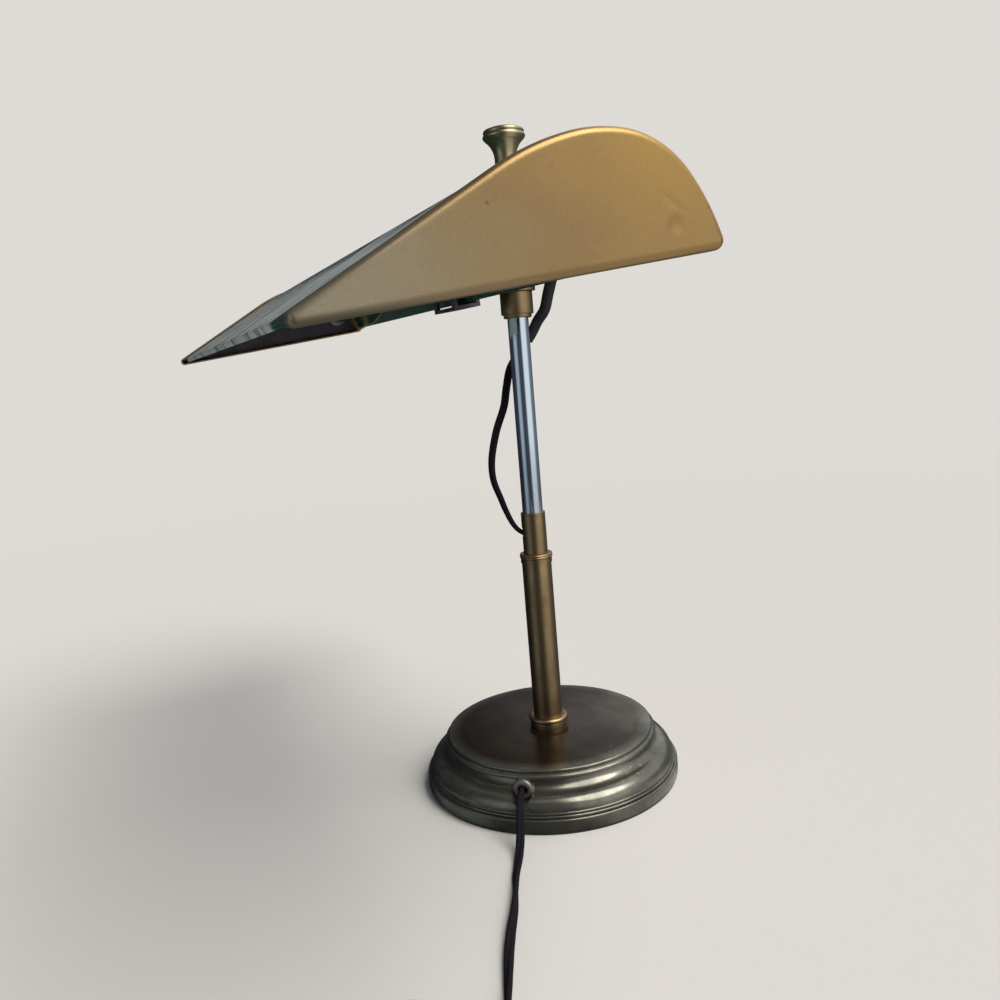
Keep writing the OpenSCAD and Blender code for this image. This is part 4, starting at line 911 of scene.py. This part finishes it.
def outline_of_plate(inset):
    """The outline of an end plate, moved inwards."""
    tip = max(FRONT_R - inset, TIP_R)
    middle = turned_way(FRONT_ANGLE / 2) * (inset + tip) / turned_way(FRONT_ANGLE / 2).y
    rear = arc(rear_middle, REAR_R - inset, 90 + back_angle, -90)[1:]
    return arc(middle, tip, 270, 90 + FRONT_ANGLE, 12) + bend_line(-inset, slope_end)[0] + rear


def plate_ring(depth, inset):
    return [on_lamp(HALF_LEN - depth, p) for p in outline_of_plate(inset)]


# %% Sheet of the right end plate
quarter = [math.radians(90 * k / ROLL_STEPS) for k in range(ROLL_STEPS + 1)]
rings = [plate_ring(RIM_W, 0)]
rings += [plate_ring(ROLL_R * (1 - math.sin(a)), ROLL_R * (1 - math.cos(a))) for a in quarter]
rings.append(plate_ring(0, ROLL_R + FLAT_RING))
plate = draw("end_plate_right_pan", rings[0])
for old, new in zip(rings, rings[1:]):
    bpy.ops.mesh.extrude_edges_move()
    bpy.ops.object.mode_set(mode="OBJECT")
    for vertex in plate.data.vertices:
        if vertex.select:
            nearest = min(range(len(old)), key=lambda i: (old[i] - vertex.co).length)
            vertex.co = new[nearest]
    bpy.ops.object.mode_set(mode="EDIT")
bpy.ops.mesh.edge_face_add()
bpy.ops.mesh.select_all(action="SELECT")
bpy.ops.mesh.normals_make_consistent(inside=False)
bpy.ops.object.mode_set(mode="OBJECT")
wall = plate.modifiers.new("sheet", "SOLIDIFY")
wall.thickness, wall.offset, wall.material_offset = PAN_T * MM, -1.0, 1
plate.data.materials.append(lacquer)
# Painted shade on the inside faces of the pan
plate.data.materials.append(PLAIN["painted_shade"])
bpy.ops.object.modifier_apply(modifier=wall.name)

# %% Both end plates
PLATE_SMOOTH = 50
bpy.ops.object.duplicate()
other = bpy.context.object
other.name = "end_plate_left_pan"
bpy.ops.object.mode_set(mode="EDIT")
bpy.ops.mesh.select_all(action="SELECT")
bpy.ops.transform.resize(value=(-1, 1, 1), center_override=(0, 0, 0))
bpy.ops.mesh.flip_normals()
dress(other, "end_plate_left", None, "shade", angle=PLATE_SMOOTH)
other.select_set(False)
plate.select_set(True)
bpy.context.view_layer.objects.active = plate
dress(plate, "end_plate_right", None, "shade", angle=PLATE_SMOOTH)

# %% [markdown]
# ## The glass
# The glass is one bent sheet that lies inside the rims of both plates. Its outer line is drawn
# at one end and pulled along to the other, Solidify gives it 3 mm of thickness, and a small
# bevel stands for the ground edges.

# %% Bent glass
SLOPE_STEPS, BACK_STRETCH = 6, 0.5
GROUND_W, GROUND_ANGLE = 0.4, 60
glass_depth = -PAN_T - SEAT
slope = math.radians(FRONT_ANGLE)
past_rim = PAN_T + SEAT + (PAN_T + SEAT + GLASS_T) * math.cos(slope)
front_cut = max(past_rim / math.sin(slope), FRONT_R / math.tan(slope / 2))
GLASS_END = HALF_LEN - EDGE_R - SEAT
bends = bend_line(glass_depth, slope_end)[0]
first = front_cut * turned_way(FRONT_ANGLE) + glass_depth * turned_way(FRONT_ANGLE + 90)
line = [first + (Vector(bends[0]) - first) * k / SLOPE_STEPS for k in range(SLOPE_STEPS)] + bends
drop = Vector(bends[-1]) - Vector(bends[-2])
line.append(Vector(bends[-1]) + drop.normalized() * BACK_STRETCH)
sheet = draw("shade_glass_bent", [on_lamp(GLASS_END, p) for p in line], closed=False)
bpy.ops.mesh.extrude_edges_move(TRANSFORM_OT_translate={"value": (-2 * GLASS_END * MM, 0, 0)})
bpy.ops.mesh.select_all(action="SELECT")
bpy.ops.mesh.normals_make_consistent(inside=False)
bpy.ops.object.mode_set(mode="OBJECT")
if sheet.data.polygons[0].normal.z < 0:
    bpy.ops.object.mode_set(mode="EDIT")
    bpy.ops.mesh.flip_normals()
    bpy.ops.object.mode_set(mode="OBJECT")
wall = sheet.modifiers.new("thickness", "SOLIDIFY")
wall.thickness, wall.offset = GLASS_T * MM, -1.0
bpy.ops.object.modifier_apply(modifier=wall.name)
ground = sheet.modifiers.new("ground_edges", "BEVEL")
ground.width, ground.segments = GROUND_W * MM, 3
ground.limit_method, ground.angle_limit = "ANGLE", math.radians(GROUND_ANGLE)
bpy.ops.object.modifier_apply(modifier=ground.name)
dress(sheet, "shade_glass", glass, "shade", angle=30)
